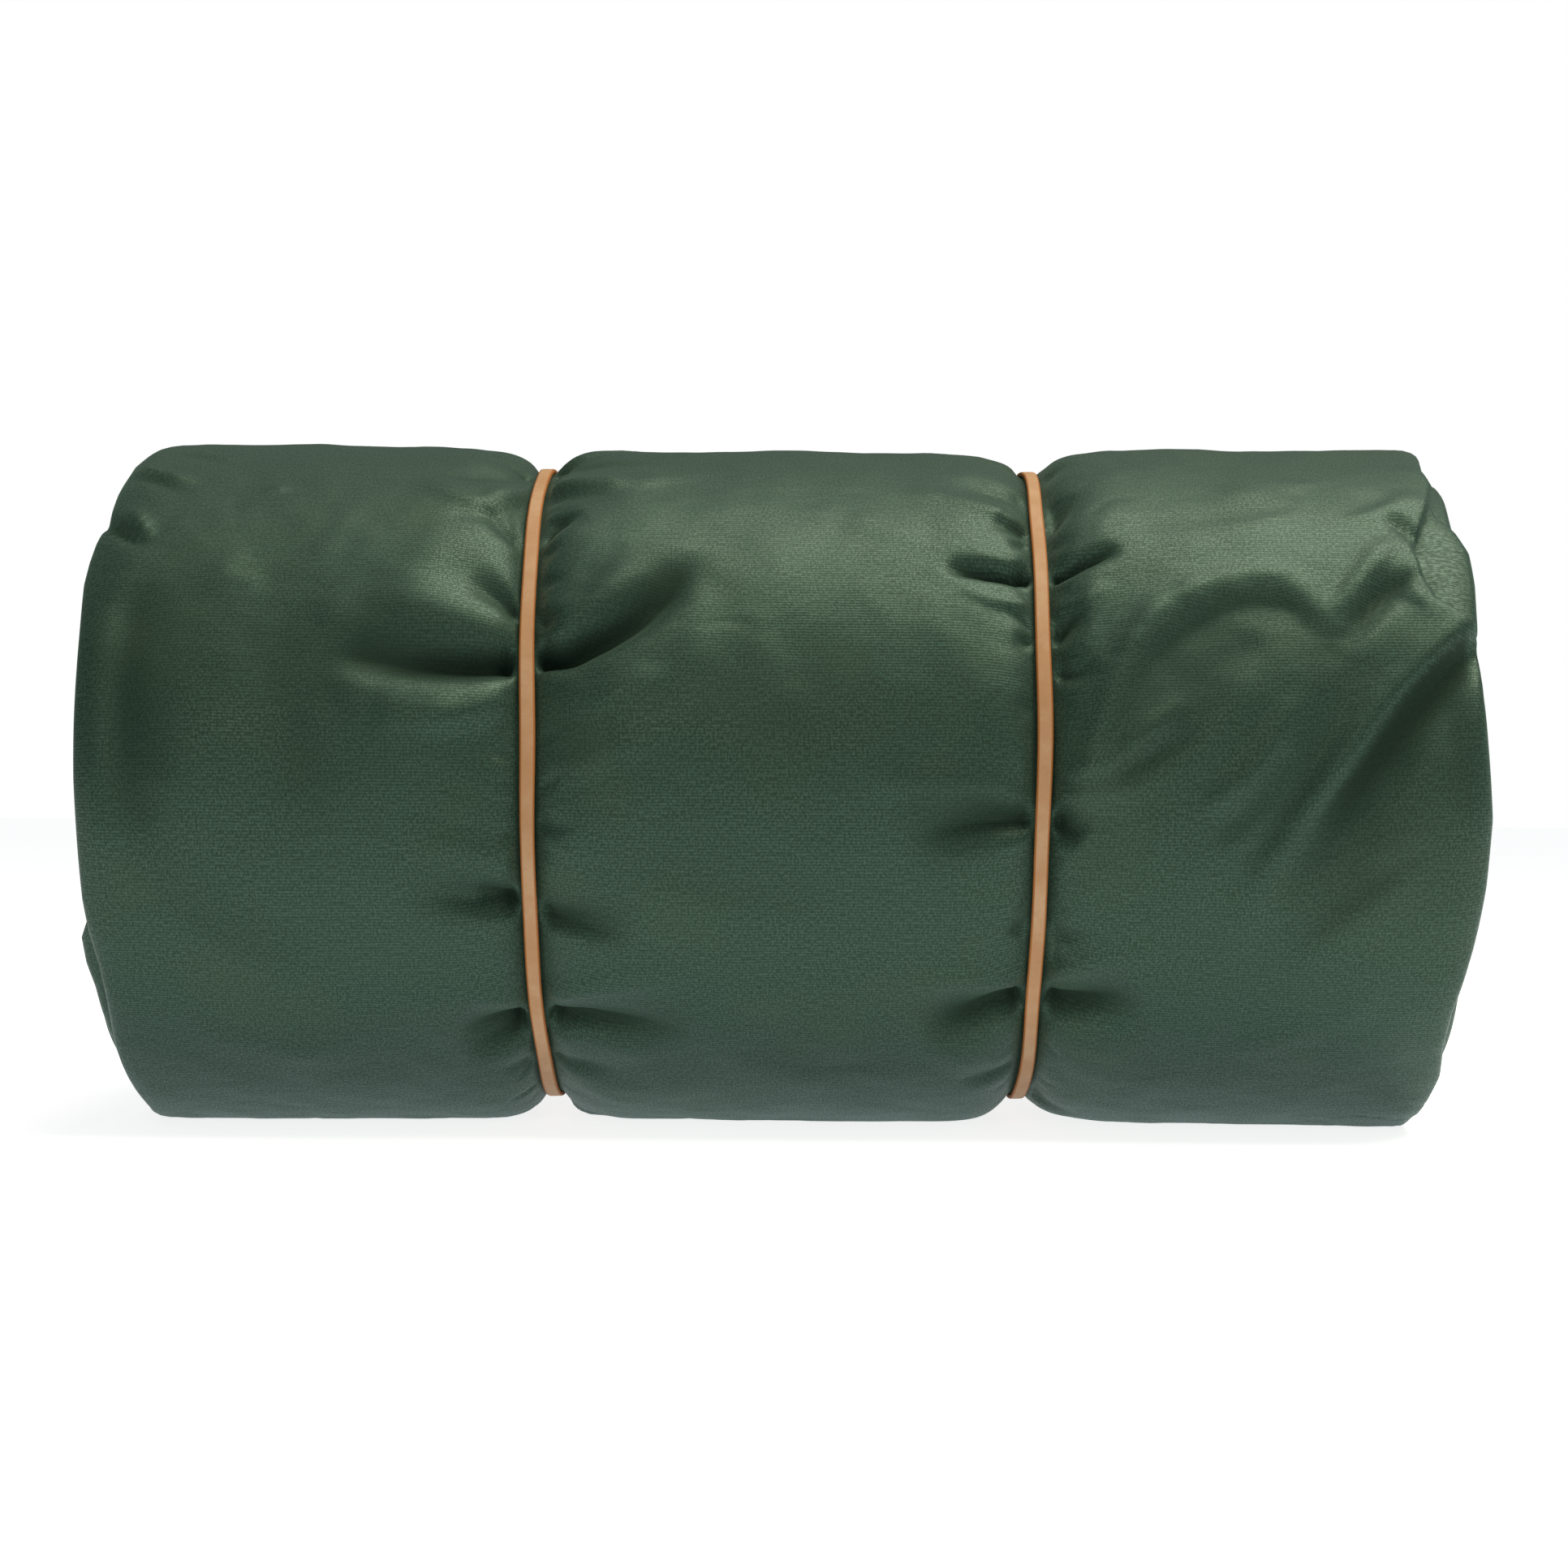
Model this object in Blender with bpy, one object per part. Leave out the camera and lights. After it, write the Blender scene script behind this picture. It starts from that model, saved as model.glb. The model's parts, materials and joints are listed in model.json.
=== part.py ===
"""Hammock tent packed as a roll: fly sheet, bed and insect net wound round their fittings.

Two rubber bands pinch the roll. It lies along X on the floor, with its front to -Y.
Metres, +Z up, origin on the floor under the roll's middle.
"""

import math
from dataclasses import dataclass

import bmesh
import bpy
from mathutils import Matrix, Vector

# Gap between faces that touch
GAP = 0.0003

# Roll
ROLL_LENGTH = 0.300
ROLL_HEIGHT = 0.156
ROLL_DEPTH = 0.160
FLOOR_FLATTENING = 0.0026
TURN = 28  # stations round one turn
FREE_EDGE_FROM_FLOOR = 4  # stations from the floor up to the fly sheet's free edge, at the back
CORNER_ROUNDING = 0.0065
PLY_ROUNDING = 0.0022
END_STAGGER = 0.0018  # how unevenly the plies end

# Wound strips: how far each goes round, and how thick it is folded
NET_TURNS = 2.3
BED_TURNS = 1.75
FLY_TURNS = 1.18
NET_THICKNESS = 0.0060
BED_THICKNESS = 0.0087
FLY_THICKNESS = 0.0120
TIP_THICKNESS = 0.0040
CORE_CLEARANCE = 0.0006  # round the straps, pegs and hooks
CORE_END_RADIUS = 0.0050  # the hole left where the net closes over the core's ends
CORE_CLOSING = 0.0150

# Rubber bands: where each sits along the roll, and how far its top leans from its bottom
LEFT_BAND_PLACE = -0.0532
LEFT_BAND_LEAN = -0.0014
RIGHT_BAND_PLACE = 0.0544
RIGHT_BAND_LEAN = 0.0008
BAND_WIDTH = 0.0032
BAND_THICKNESS = 0.0011
BAND_CORNER = 0.00035
BAND_PINCH = 0.0083
LEAST_PLY = 0.0020  # what the free edge is pressed to under a band
GROOVE_MARGIN = 0.0008
GROOVE_FLARE = 0.0055

# Tree straps
WEBBING_WIDTH = 0.025
WEBBING_THICKNESS = 0.0020
WEBBING_GAP = 0.00035
STRAP_LAYERS = 10
STRAP_LENGTH = 0.240

# Pegs
PEG_DIAMETER = 0.0040
PEG_LENGTH = 0.180
PEG_HOOK_RADIUS = 0.0050
PEG_PITCH = 0.0080
PEG_COUNT = 6
PEG_POINT = 0.010

# Snap hooks
HOOK_LENGTH = 0.076
HOOK_WIDTH = 0.040
HOOK_BAR = 0.0070
HOOK_SPACING = 0.090
HOOK_HINGE_BEND = 0.0100
TONGUE_THICKNESS = 0.0030
NOSE_THICKNESS = 0.0026
NOSE_LENGTH = 0.0053
FORK_CLEARANCE = 0.0003
TONGUE_EASE = 0.0004  # how far the tongue's edges stay inside the bar
STRAIGHT_END = 0.0015  # straight bar past each bend, before the tongue and the nose
RIVET_DIAMETER = 0.0024
LATCH_DIAMETER = 0.0020

HALF_LENGTH = ROLL_LENGTH / 2
ROUND_RADIUS = (ROLL_HEIGHT + FLOOR_FLATTENING) / 2
AXIS_HEIGHT = ROLL_HEIGHT - ROUND_RADIUS
TAPER = 5  # stations over which a strip thins to its tip
EDGE_EASE = 3


@dataclass(frozen=True)
class Band:
    """One rubber band: where it sits along the roll, and how far its top leans from its bottom."""

    name: str
    middle: float
    lean: float

    def place(self, angle):
        """X of the band's middle at this clock angle, from +Y up."""
        return self.middle + self.lean * math.sin(angle)


BANDS = (
    Band("left", LEFT_BAND_PLACE, LEFT_BAND_LEAN),
    Band("right", RIGHT_BAND_PLACE, RIGHT_BAND_LEAN),
)


@dataclass(frozen=True)
class Tuck:
    """A fold that the pinch gathers beside a band: which band and side, its clock angle and depth."""

    band: int
    side: int
    elevation: float
    depth: float


# The front's folds, by their height on the photographed side: 0 is level with the axis
TUCKS = (
    Tuck(0, -1, 57, 0.0018),
    Tuck(0, 1, 52, 0.0012),
    Tuck(0, -1, 19, 0.0030),
    Tuck(0, 1, 20, 0.0028),
    Tuck(0, -1, -19, 0.0018),
    Tuck(0, 1, -22, 0.0020),
    Tuck(0, -1, -38, 0.0022),
    Tuck(0, 1, -38, 0.0026),
    Tuck(1, -1, 58, 0.0016),
    Tuck(1, -1, 32, 0.0026),
    Tuck(1, 1, 33, 0.0028),
    Tuck(1, -1, -6, 0.0022),
    Tuck(1, 1, -8, 0.0022),
    Tuck(1, -1, -36, 0.0028),
    Tuck(1, 1, -34, 0.0028),
)
TUCK_SPREAD = math.radians(8)
TUCK_REACH = 0.028
BACK_TUCKS = 9
BACK_TUCK_DEPTH = 0.0018
SOFT_DENT = 0.0009
DENTS_ROUND = 3
DENT_TWIST = 48  # radians of shift for each metre along the roll
BACK_TUCK_TWIST = 30


@dataclass(frozen=True)
class Strip:
    """One cloth, folded to a strip and wound from its first station to its last."""

    name: str
    first: int
    last: int
    thickness: float


def strips():
    """The three cloths in the order in which they are wound, each starting where the last one ends."""
    wound, first = [], 0
    for name, turns, thickness in (
        ("insect_net_roll", NET_TURNS, NET_THICKNESS),
        ("hammock_bed_roll", BED_TURNS, BED_THICKNESS),
        ("fly_sheet_roll", FLY_TURNS, FLY_THICKNESS),
    ):
        last = first + round(turns * TURN)
        wound.append(Strip(name, first, last, thickness))
        first = last + 1
    return wound


def eased(share):
    """A smooth step from 0 to 1."""
    share = min(max(share, 0.0), 1.0)
    return share * share * (3 - 2 * share)


# What the core holds, stacked from the bottom: strap hanks, pegs, snap hooks


def strap_height():
    return STRAP_LAYERS * WEBBING_THICKNESS + (STRAP_LAYERS - 1) * WEBBING_GAP


def core_circle():
    """Radius of the round that just holds the stack, and how far the stack's foot is below the axis."""
    foot_half = WEBBING_WIDTH + GAP / 2
    top_half = HOOK_WIDTH / 2
    stack = strap_height() + GAP + PEG_DIAMETER + GAP + HOOK_BAR
    foot_drop = (top_half**2 + stack**2 - foot_half**2) / (2 * stack)
    return math.hypot(foot_half, foot_drop), foot_drop


STACK_RADIUS, STACK_DROP = core_circle()
CORE_RADIUS = (STACK_RADIUS + CORE_CLEARANCE) / math.cos(math.pi / TURN)
STRAP_FOOT = AXIS_HEIGHT - STACK_DROP
PEG_AXIS = STRAP_FOOT + strap_height() + GAP + PEG_DIAMETER / 2
HOOK_PLANE = PEG_AXIS + PEG_DIAMETER / 2 + GAP + HOOK_BAR / 2


class Winding:
    """Radii of the wound strips at every station, made so that the finished roll is round."""

    def __init__(self):
        self.net, self.bed, self.fly = strips()
        self.last = self.fly.last
        self.inner, self.outer = self._wind()
        self._make_round()
        self.covered_last = self.last - TURN
        self.floor = [self._groove_floor(i) for i in range(self.last + 1)]

    def clock_angle(self, station):
        """Angle of a station from +Y up, so that the free edge lies low at the back."""
        free_edge = -math.pi / 2 + FREE_EDGE_FROM_FLOOR * math.tau / TURN
        return free_edge + (self.last - station) * math.tau / TURN

    def _thickness(self, station):
        strip = next(s for s in (self.net, self.bed, self.fly) if station <= s.last)
        ends = [strip.thickness]
        if strip is not self.bed:
            ends.append(self._tapered(strip, station - strip.first))
        if strip is self.fly:
            ends.append(self._tapered(strip, strip.last - station))
        return min(ends)

    def _tapered(self, strip, from_tip):
        return TIP_THICKNESS + (strip.thickness - TIP_THICKNESS) * eased(from_tip / TAPER)

    def _wind(self):
        """Each turn lies on the one below."""
        inner, outer = [], []
        for station in range(self.last + 1):
            if station < TURN:
                climb = eased((station - TURN + TAPER) / TAPER)
                radius = CORE_RADIUS + climb * (TIP_THICKNESS + GAP)
            else:
                radius = outer[station - TURN] + GAP
            inner.append(radius)
            outer.append(radius + self._thickness(station))
        return inner, outer

    def _edge_rise(self, station):
        """How far the free edge has risen at this station, from 0 to 1."""
        return eased((station - self.last + EDGE_EASE) / EDGE_EASE)

    def _make_round(self):
        """Stretch the radii at each clock angle, the core's held, so that the outside is round."""
        for station in range(self.last - TURN + 1, self.last + 1):
            wanted = ROUND_RADIUS + self._edge_rise(station) * (TIP_THICKNESS + GAP)
            stretch = (wanted - CORE_RADIUS) / (self.outer[station] - CORE_RADIUS)
            for below in range(station, -1, -TURN):
                for radii in (self.inner, self.outer):
                    radii[below] = CORE_RADIUS + (radii[below] - CORE_RADIUS) * stretch

    def _exposed_floor(self, station):
        rise = self._edge_rise(station) * (LEAST_PLY + GAP)
        return ROUND_RADIUS - BAND_PINCH + rise

    def _groove_floor(self, station):
        """Radius of a ply's outer side under a band."""
        if station > self.covered_last:
            return self._exposed_floor(station)
        if station < self.fly.first:
            return self.outer[station]
        above = self._exposed_floor(station + TURN)
        return min(self.outer[station], above - LEAST_PLY - GAP)

    def inner_floor(self, station):
        """Radius of a ply's inner side under a band: it follows the fly sheet's own first plies."""
        if station - TURN >= self.fly.first:
            return self.floor[station - TURN] + GAP
        return self.inner[station]

    def exposed(self, station):
        return station > self.covered_last

    def band_radius(self, station):
        return self._exposed_floor(station) + GAP


def groove(offset, exposed):
    """Share of the pinch at this distance from a band's middle, from 0 to 1."""
    flat = BAND_WIDTH / 2 + GROOVE_MARGIN
    beyond = abs(offset) - flat
    if beyond <= 1e-9:
        return 1.0
    near, far = GROOVE_OFFSETS[1] - flat, GROOVE_OFFSETS[2] - flat
    if beyond > far + 1e-9:
        return 0.0
    if exposed or beyond > near + 1e-9:
        return math.exp(-beyond / GROOVE_FLARE)
    return 1 + (math.exp(-far / GROOVE_FLARE) - 1) * beyond / far


# Distances from a band's middle at which a ply has points: flat floor, flank, foot and flare
GROOVE_OFFSETS = (
    BAND_WIDTH / 2 + GROOVE_MARGIN,
    BAND_WIDTH / 2 + GROOVE_MARGIN + 0.6 * GROOVE_FLARE,
    BAND_WIDTH / 2 + GROOVE_MARGIN + 1.8 * GROOVE_FLARE,
    BAND_WIDTH / 2 + GROOVE_MARGIN + 4.2 * GROOVE_FLARE,
)


def half_length(station):
    """Half of a ply's length: the plies end unevenly, and none is longer than the roll."""
    unevenness = 0.5 + 0.5 * math.sin(2.3 * station * math.tau / TURN)
    return HALF_LENGTH - END_STAGGER * unevenness


def tuck_depth(x, angle):
    """How far the pinch's folds and the cloth's soft dents sink the outer side here."""
    elevation = math.pi - angle % math.tau
    depth = SOFT_DENT * (0.5 + 0.5 * math.sin(DENTS_ROUND * angle + DENT_TWIST * x))
    for tuck in TUCKS:
        offset = (x - BANDS[tuck.band].place(angle)) * tuck.side
        if 0 < offset < TUCK_REACH:
            turned = (elevation - math.radians(tuck.elevation)) / TUCK_SPREAD
            depth += tuck.depth * math.exp(-turned * turned) * (1 - offset / TUCK_REACH)
    if math.cos(angle) > 0.2:
        nearest = min(abs(x - band.place(angle)) for band in BANDS)
        wave = 0.5 + 0.5 * math.sin(BACK_TUCKS * angle + BACK_TUCK_TWIST * x)
        depth += BACK_TUCK_DEPTH * wave * max(0.0, 1 - nearest / TUCK_REACH)
    return depth


def placed(x, radius, angle):
    """A point of the roll: round sections made a little oval, and flat where they meet the floor."""
    y = radius * math.cos(angle) * (ROLL_DEPTH / 2) / ROUND_RADIUS
    z = AXIS_HEIGHT + radius * math.sin(angle)
    return Vector((x, y, max(z, 0.0)))


def fly_section(winding, station):
    """The fly sheet's closed section at a station, pinched at both bands."""
    angle = winding.clock_angle(station)
    end = half_length(station)
    exposed = winding.exposed(station)
    outer, inner = winding.outer[station], winding.inner[station]
    outer_pinch = outer - winding.floor[station]
    inner_pinch = inner - winding.inner_floor(station)

    def beside_bands(offsets):
        found = []
        for band in BANDS:
            middle = band.place(angle)
            sides = [-o for o in reversed(offsets)] + list(offsets)
            found += [(middle + offset, offset) for offset in sides]
        return found

    def outside(x, offset):
        radius = outer - outer_pinch * groove(offset, exposed)
        if exposed and abs(offset) > GROOVE_OFFSETS[0] + 1e-9:
            radius -= tuck_depth(x, angle)
        return placed(x, radius, angle)

    def inside(x, offset):
        return placed(x, inner - inner_pinch * groove(offset, False), angle)

    upper = [placed(-end, outer - CORNER_ROUNDING, angle)]
    upper.append(placed(-end + CORNER_ROUNDING, outer - 0.1 * CORNER_ROUNDING, angle))
    upper += [outside(x, offset) for x, offset in beside_bands(GROOVE_OFFSETS)]
    upper.append(placed(end - CORNER_ROUNDING, outer - 0.1 * CORNER_ROUNDING, angle))
    upper.append(placed(end, outer - CORNER_ROUNDING, angle))
    coarse = (GROOVE_OFFSETS[0], GROOVE_OFFSETS[2], GROOVE_OFFSETS[3])
    lower = [placed(end, inner + PLY_ROUNDING / 2, angle)]
    lower += [inside(x, offset) for x, offset in reversed(beside_bands(coarse))]
    lower.append(placed(-end, inner + PLY_ROUNDING / 2, angle))
    return upper + lower


def bed_section(winding, station):
    """The bed's closed section: plain, with rounded ends."""
    angle = winding.clock_angle(station)
    end = half_length(station)
    outer, inner = winding.outer[station], winding.inner[station]
    upper = [(-end, outer - PLY_ROUNDING), (-end + PLY_ROUNDING, outer)]
    upper += [(end - PLY_ROUNDING, outer), (end, outer - PLY_ROUNDING)]
    lower = [(end, inner + PLY_ROUNDING), (end - PLY_ROUNDING, inner)]
    lower += [(-end + PLY_ROUNDING, inner), (-end, inner + PLY_ROUNDING)]
    return [placed(x, radius, angle) for x, radius in upper + lower]


def net_section(winding, station):
    """The net's closed section: its first turn gathers over the core's ends and shuts them."""
    angle = winding.clock_angle(station)
    end = half_length(station)
    outer, inner = winding.outer[station], winding.inner[station]
    gathered = station < TURN
    shut = CORE_END_RADIUS if gathered else inner
    lid_start = STRAP_LENGTH / 2 + 2 * GAP
    lid_end = lid_start + CORE_CLOSING
    upper = [(-end, outer - PLY_ROUNDING), (-end + PLY_ROUNDING, outer)]
    upper += [(end - PLY_ROUNDING, outer), (end, outer - PLY_ROUNDING)]
    lower = [(end, shut + PLY_ROUNDING), (end - PLY_ROUNDING, shut)]
    lower += [(lid_end, shut), (lid_start, inner), (-lid_start, inner), (-lid_end, shut)]
    lower += [(-end + PLY_ROUNDING, shut), (-end, shut + PLY_ROUNDING)]
    return [placed(x, radius, angle) for x, radius in upper + lower]


def lofted(name, sections, closed=False):
    """A body through unlike closed sections, with flat ends unless it joins up with itself."""
    mesh = bpy.data.meshes.new(name)
    shape = bmesh.new()
    rings = [[shape.verts.new(point) for point in section] for section in sections]
    pairs = list(zip(rings, rings[1:]))
    if closed:
        pairs.append((rings[-1], rings[0]))
    for here, there in pairs:
        for k in range(len(here)):
            m = (k + 1) % len(here)
            shape.faces.new((here[k], here[m], there[m], there[k]))
    if not closed:
        shape.faces.new(list(reversed(rings[0])))
        shape.faces.new(rings[-1])
    bmesh.ops.triangulate(shape, faces=shape.faces, ngon_method="EAR_CLIP")
    bmesh.ops.recalc_face_normals(shape, faces=shape.faces)
    shape.to_mesh(mesh)
    shape.free()
    mesh.shade_smooth()
    mesh.set_sharp_from_angle(angle=math.radians(50))
    return bpy.data.objects.new(name, mesh)


def rubber_band(winding, band):
    """One band: a flat ring with softened corners that follows the groove's floor."""
    half, corner = BAND_WIDTH / 2, BAND_CORNER
    profile = (
        (-half, corner),
        (-half, BAND_THICKNESS - corner),
        (-half + corner, BAND_THICKNESS),
        (half - corner, BAND_THICKNESS),
        (half, BAND_THICKNESS - corner),
        (half, corner),
        (half - corner, 0),
        (-half + corner, 0),
    )
    sections = []
    for station in range(winding.covered_last + 1, winding.last + 1):
        angle = winding.clock_angle(station)
        seat = winding.band_radius(station)
        middle = band.place(angle)
        sections.append([placed(middle + x, seat + rise, angle) for x, rise in profile])
    return lofted(f"rubber_band_{band.name}", sections, closed=True)


def tree_strap(name, side):
    """A webbing strap folded to and fro, each layer on the last, as one unbroken ribbon."""
    pitch = WEBBING_THICKNESS + WEBBING_GAP
    bend = pitch / 2
    reach = STRAP_LENGTH / 2 - bend - WEBBING_THICKNESS / 2
    path = []
    for layer in range(STRAP_LAYERS):
        way = 1 if layer % 2 == 0 else -1
        height = layer * pitch
        path += [(-way * reach, height), (way * reach, height)]
        if layer < STRAP_LAYERS - 1:
            for step in (1, 2, 3):
                turned = -math.pi / 2 + step * math.pi / 4
                across = way * (reach + bend * math.cos(turned))
                path.append((across, height + bend + bend * math.sin(turned)))
    sections = []
    half = WEBBING_WIDTH / 2
    for i, (x, z) in enumerate(path):
        before, after = path[max(i - 1, 0)], path[min(i + 1, len(path) - 1)]
        along = Vector((after[0] - before[0], after[1] - before[1])).normalized()
        normal = Vector((-along.y, along.x)) * WEBBING_THICKNESS / 2
        up, down = Vector((x, z)) + normal, Vector((x, z)) - normal
        sections.append(
            [
                Vector((up.x, -half, up.y)),
                Vector((up.x, half, up.y)),
                Vector((down.x, half, down.y)),
                Vector((down.x, -half, down.y)),
            ]
        )
    strap = lofted(name, sections)
    lift = STRAP_FOOT + WEBBING_THICKNESS / 2
    strap.location = (0, side * (WEBBING_WIDTH + GAP) / 2, lift)
    return strap


def tube(name, points, diameter, sides, tip_radii=None):
    """A round bar along the points, with filled ends; tip_radii thins its last points."""
    data = bpy.data.curves.new(name, "CURVE")
    data.dimensions = "3D"
    data.bevel_depth = diameter / 2
    data.bevel_resolution = sides
    data.use_fill_caps = True
    spline = data.splines.new("POLY")
    spline.points.add(len(points) - 1)
    for point, place in zip(spline.points, points):
        point.co = (*place, 1)
    for back, share in enumerate(tip_radii or ()):
        spline.points[-1 - back].radius = share
    return bpy.data.objects.new(name, data)


def arc(middle, radius, start, sweep, steps):
    """Points along an arc in the XY plane, both ends included."""
    turns = [math.radians(start + sweep * k / steps) for k in range(steps + 1)]
    return [
        (middle[0] + radius * math.cos(t), middle[1] + radius * math.sin(t)) for t in turns
    ]


def peg(number):
    """A wire peg: a straight shaft with a ground point, and a hook bent over at its head."""
    way = -1 if number % 2 == 0 else 1
    bend = PEG_HOOK_RADIUS
    hook = arc((0, bend), bend, 110, 160, 7)
    head = [(x, y, 0) for x, y in hook]
    shaft = PEG_LENGTH - bend - PEG_DIAMETER / 2
    points = head + [(shaft - PEG_POINT, 0, 0), (shaft, 0, 0)]
    body = tube(f"peg_{number + 1}", points, PEG_DIAMETER, 2, tip_radii=(0.12, 1.0))
    row = (number - (PEG_COUNT - 1) / 2) * PEG_PITCH
    start = way * (STRAP_LENGTH / 2 - bend - PEG_DIAMETER / 2)
    turn = Matrix.Rotation(math.pi if way == 1 else 0, 4, "Z")
    body.matrix_world = Matrix.Translation((start, row, PEG_AXIS)) @ turn
    return body


def meshed(curve):
    """The curve's solid as a mesh object that Booleans can work on."""
    bpy.context.scene.collection.objects.link(curve)
    bpy.context.view_layer.update()
    seen = curve.evaluated_get(bpy.context.evaluated_depsgraph_get())
    mesh = bpy.data.meshes.new_from_object(seen)
    shape = bmesh.new()
    shape.from_mesh(mesh)
    bmesh.ops.remove_doubles(shape, verts=shape.verts, dist=0.00001)
    bmesh.ops.recalc_face_normals(shape, faces=shape.faces)
    shape.to_mesh(mesh)
    shape.free()
    name, place = curve.name, curve.matrix_world.copy()
    bpy.data.objects.remove(curve)
    body = bpy.data.objects.new(name, mesh)
    body.matrix_world = place
    return body


def block(name, low, high):
    """A box between two corners."""
    mesh = bpy.data.meshes.new(name)
    shape = bmesh.new()
    bmesh.ops.create_cube(shape, size=1)
    size = [h - l for l, h in zip(low, high)]
    middle = [(l + h) / 2 for l, h in zip(low, high)]
    bmesh.ops.scale(shape, vec=size, verts=shape.verts)
    bmesh.ops.translate(shape, vec=middle, verts=shape.verts)
    shape.to_mesh(mesh)
    shape.free()
    return bpy.data.objects.new(name, mesh)


def drum(name, place, diameter, height, sides=16):
    """A cylinder that stands along Z on this middle."""
    mesh = bpy.data.meshes.new(name)
    shape = bmesh.new()
    bmesh.ops.create_cone(
        shape,
        cap_ends=True,
        segments=sides,
        radius1=diameter / 2,
        radius2=diameter / 2,
        depth=height,
        matrix=Matrix.Translation((place[0], place[1], 0)),
    )
    shape.to_mesh(mesh)
    shape.free()
    return bpy.data.objects.new(name, mesh)


def combine(body, others, operation):
    """Cut the body by each of the others, or join them to it, and use the others up."""
    cutters = bpy.data.collections["Cutters"]
    for other in others:
        cutters.objects.link(other)
        other.hide_render = True
        other.display_type = "WIRE"
        change = body.modifiers.new(operation.lower(), "BOOLEAN")
        change.operation = operation
        change.object = other
    return body


# Places on a snap hook, in its own plane: U along it, V across it, the gate on the +V side
BAR = HOOK_BAR / 2
GATE_LINE = HOOK_WIDTH / 2 - BAR
SPINE_END = HOOK_LENGTH / 2 - BAR
BASKET_MIDDLE = SPINE_END - GATE_LINE
SHOULDER_U = -SPINE_END + HOOK_HINGE_BEND + STRAIGHT_END
PIVOT_U = SHOULDER_U + BAR + 1.5 * FORK_CLEARANCE
NOSE_FACE_U = BASKET_MIDDLE - STRAIGHT_END
GATE_END_U = NOSE_FACE_U - 2 * FORK_CLEARANCE
LATCH_U = GATE_END_U - LATCH_DIAMETER
SLOT_LENGTH = NOSE_LENGTH + 2 * FORK_CLEARANCE


def hook_body(name):
    """The bent bar of a snap hook: a spine, a wide basket, a tongue for the gate and a notched nose."""
    basket = arc((BASKET_MIDDLE, 0), GATE_LINE, 90, -180, 14)
    bend = HOOK_HINGE_BEND
    low = arc((-SPINE_END + bend, -GATE_LINE + bend), bend, 270, -90, 6)
    high = arc((-SPINE_END + bend, GATE_LINE - bend), bend, 180, -90, 6)
    outline = [(NOSE_FACE_U, GATE_LINE)] + basket + low + high + [(SHOULDER_U, GATE_LINE)]
    body = meshed(tube(name, [(u, v, 0) for u, v in outline], HOOK_BAR, 2))
    tongue = TONGUE_THICKNESS / 2
    nose = NOSE_THICKNESS / 2
    reach = BAR - TONGUE_EASE
    joined = [
        block(
            f"{name}_tongue",
            (SHOULDER_U - BAR / 2, GATE_LINE - reach, -tongue),
            (PIVOT_U, GATE_LINE + reach, tongue),
        ),
        drum(f"{name}_tongue_end", (PIVOT_U, GATE_LINE), 2 * reach, 2 * tongue),
        block(
            f"{name}_nose",
            (NOSE_FACE_U - NOSE_LENGTH, GATE_LINE - 0.7 * BAR, -nose),
            (NOSE_FACE_U + BAR / 2, GATE_LINE + 0.7 * BAR, nose),
        ),
    ]
    notch = LATCH_DIAMETER / 2 + FORK_CLEARANCE
    cut = [
        drum(f"{name}_hole", (PIVOT_U, GATE_LINE), RIVET_DIAMETER + 2 * GAP, HOOK_BAR),
        block(
            f"{name}_notch",
            (LATCH_U - notch, GATE_LINE - BAR, -BAR),
            (LATCH_U + notch, GATE_LINE + notch, BAR),
        ),
    ]
    combine(body, joined, "UNION")
    return combine(body, cut, "DIFFERENCE")


def hook_gate(name):
    """The gate: a bar forked over the body's tongue at one end and over its nose at the other."""
    ends = [(PIVOT_U, GATE_LINE, 0), (GATE_END_U, GATE_LINE, 0)]
    body = meshed(tube(name, ends, HOOK_BAR, 2))
    ear_end = combine(body, [drum(f"{name}_ears", ends[0], HOOK_BAR, HOOK_BAR * 0.8)], "UNION")
    fork = TONGUE_THICKNESS / 2 + FORK_CLEARANCE
    slot = NOSE_THICKNESS / 2 + FORK_CLEARANCE
    cut = [
        block(
            f"{name}_fork",
            (PIVOT_U - HOOK_BAR, GATE_LINE - HOOK_BAR, -fork),
            (PIVOT_U + BAR + FORK_CLEARANCE, GATE_LINE + HOOK_BAR, fork),
        ),
        block(
            f"{name}_slot",
            (NOSE_FACE_U - SLOT_LENGTH, GATE_LINE - HOOK_BAR, -slot),
            (GATE_END_U + BAR, GATE_LINE + HOOK_BAR, slot),
        ),
        drum(f"{name}_rivet_hole", ends[0][:2], RIVET_DIAMETER + 2 * GAP, 2 * HOOK_BAR),
        drum(f"{name}_latch_hole", (LATCH_U, GATE_LINE), LATCH_DIAMETER + 2 * GAP, 2 * HOOK_BAR),
    ]
    return combine(ear_end, cut, "DIFFERENCE")


def pivoted(body, pivot, place):
    """Put the body's origin on its pivot, then set it in its place in the roll."""
    body.data.transform(Matrix.Translation((-pivot[0], -pivot[1], 0)))
    body.location = (place + pivot[0], pivot[1], HOOK_PLANE)
    for change in body.modifiers:
        change.object.data.transform(Matrix.Translation((-pivot[0], -pivot[1], 0)))
        change.object.location = body.location
    return body


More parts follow.
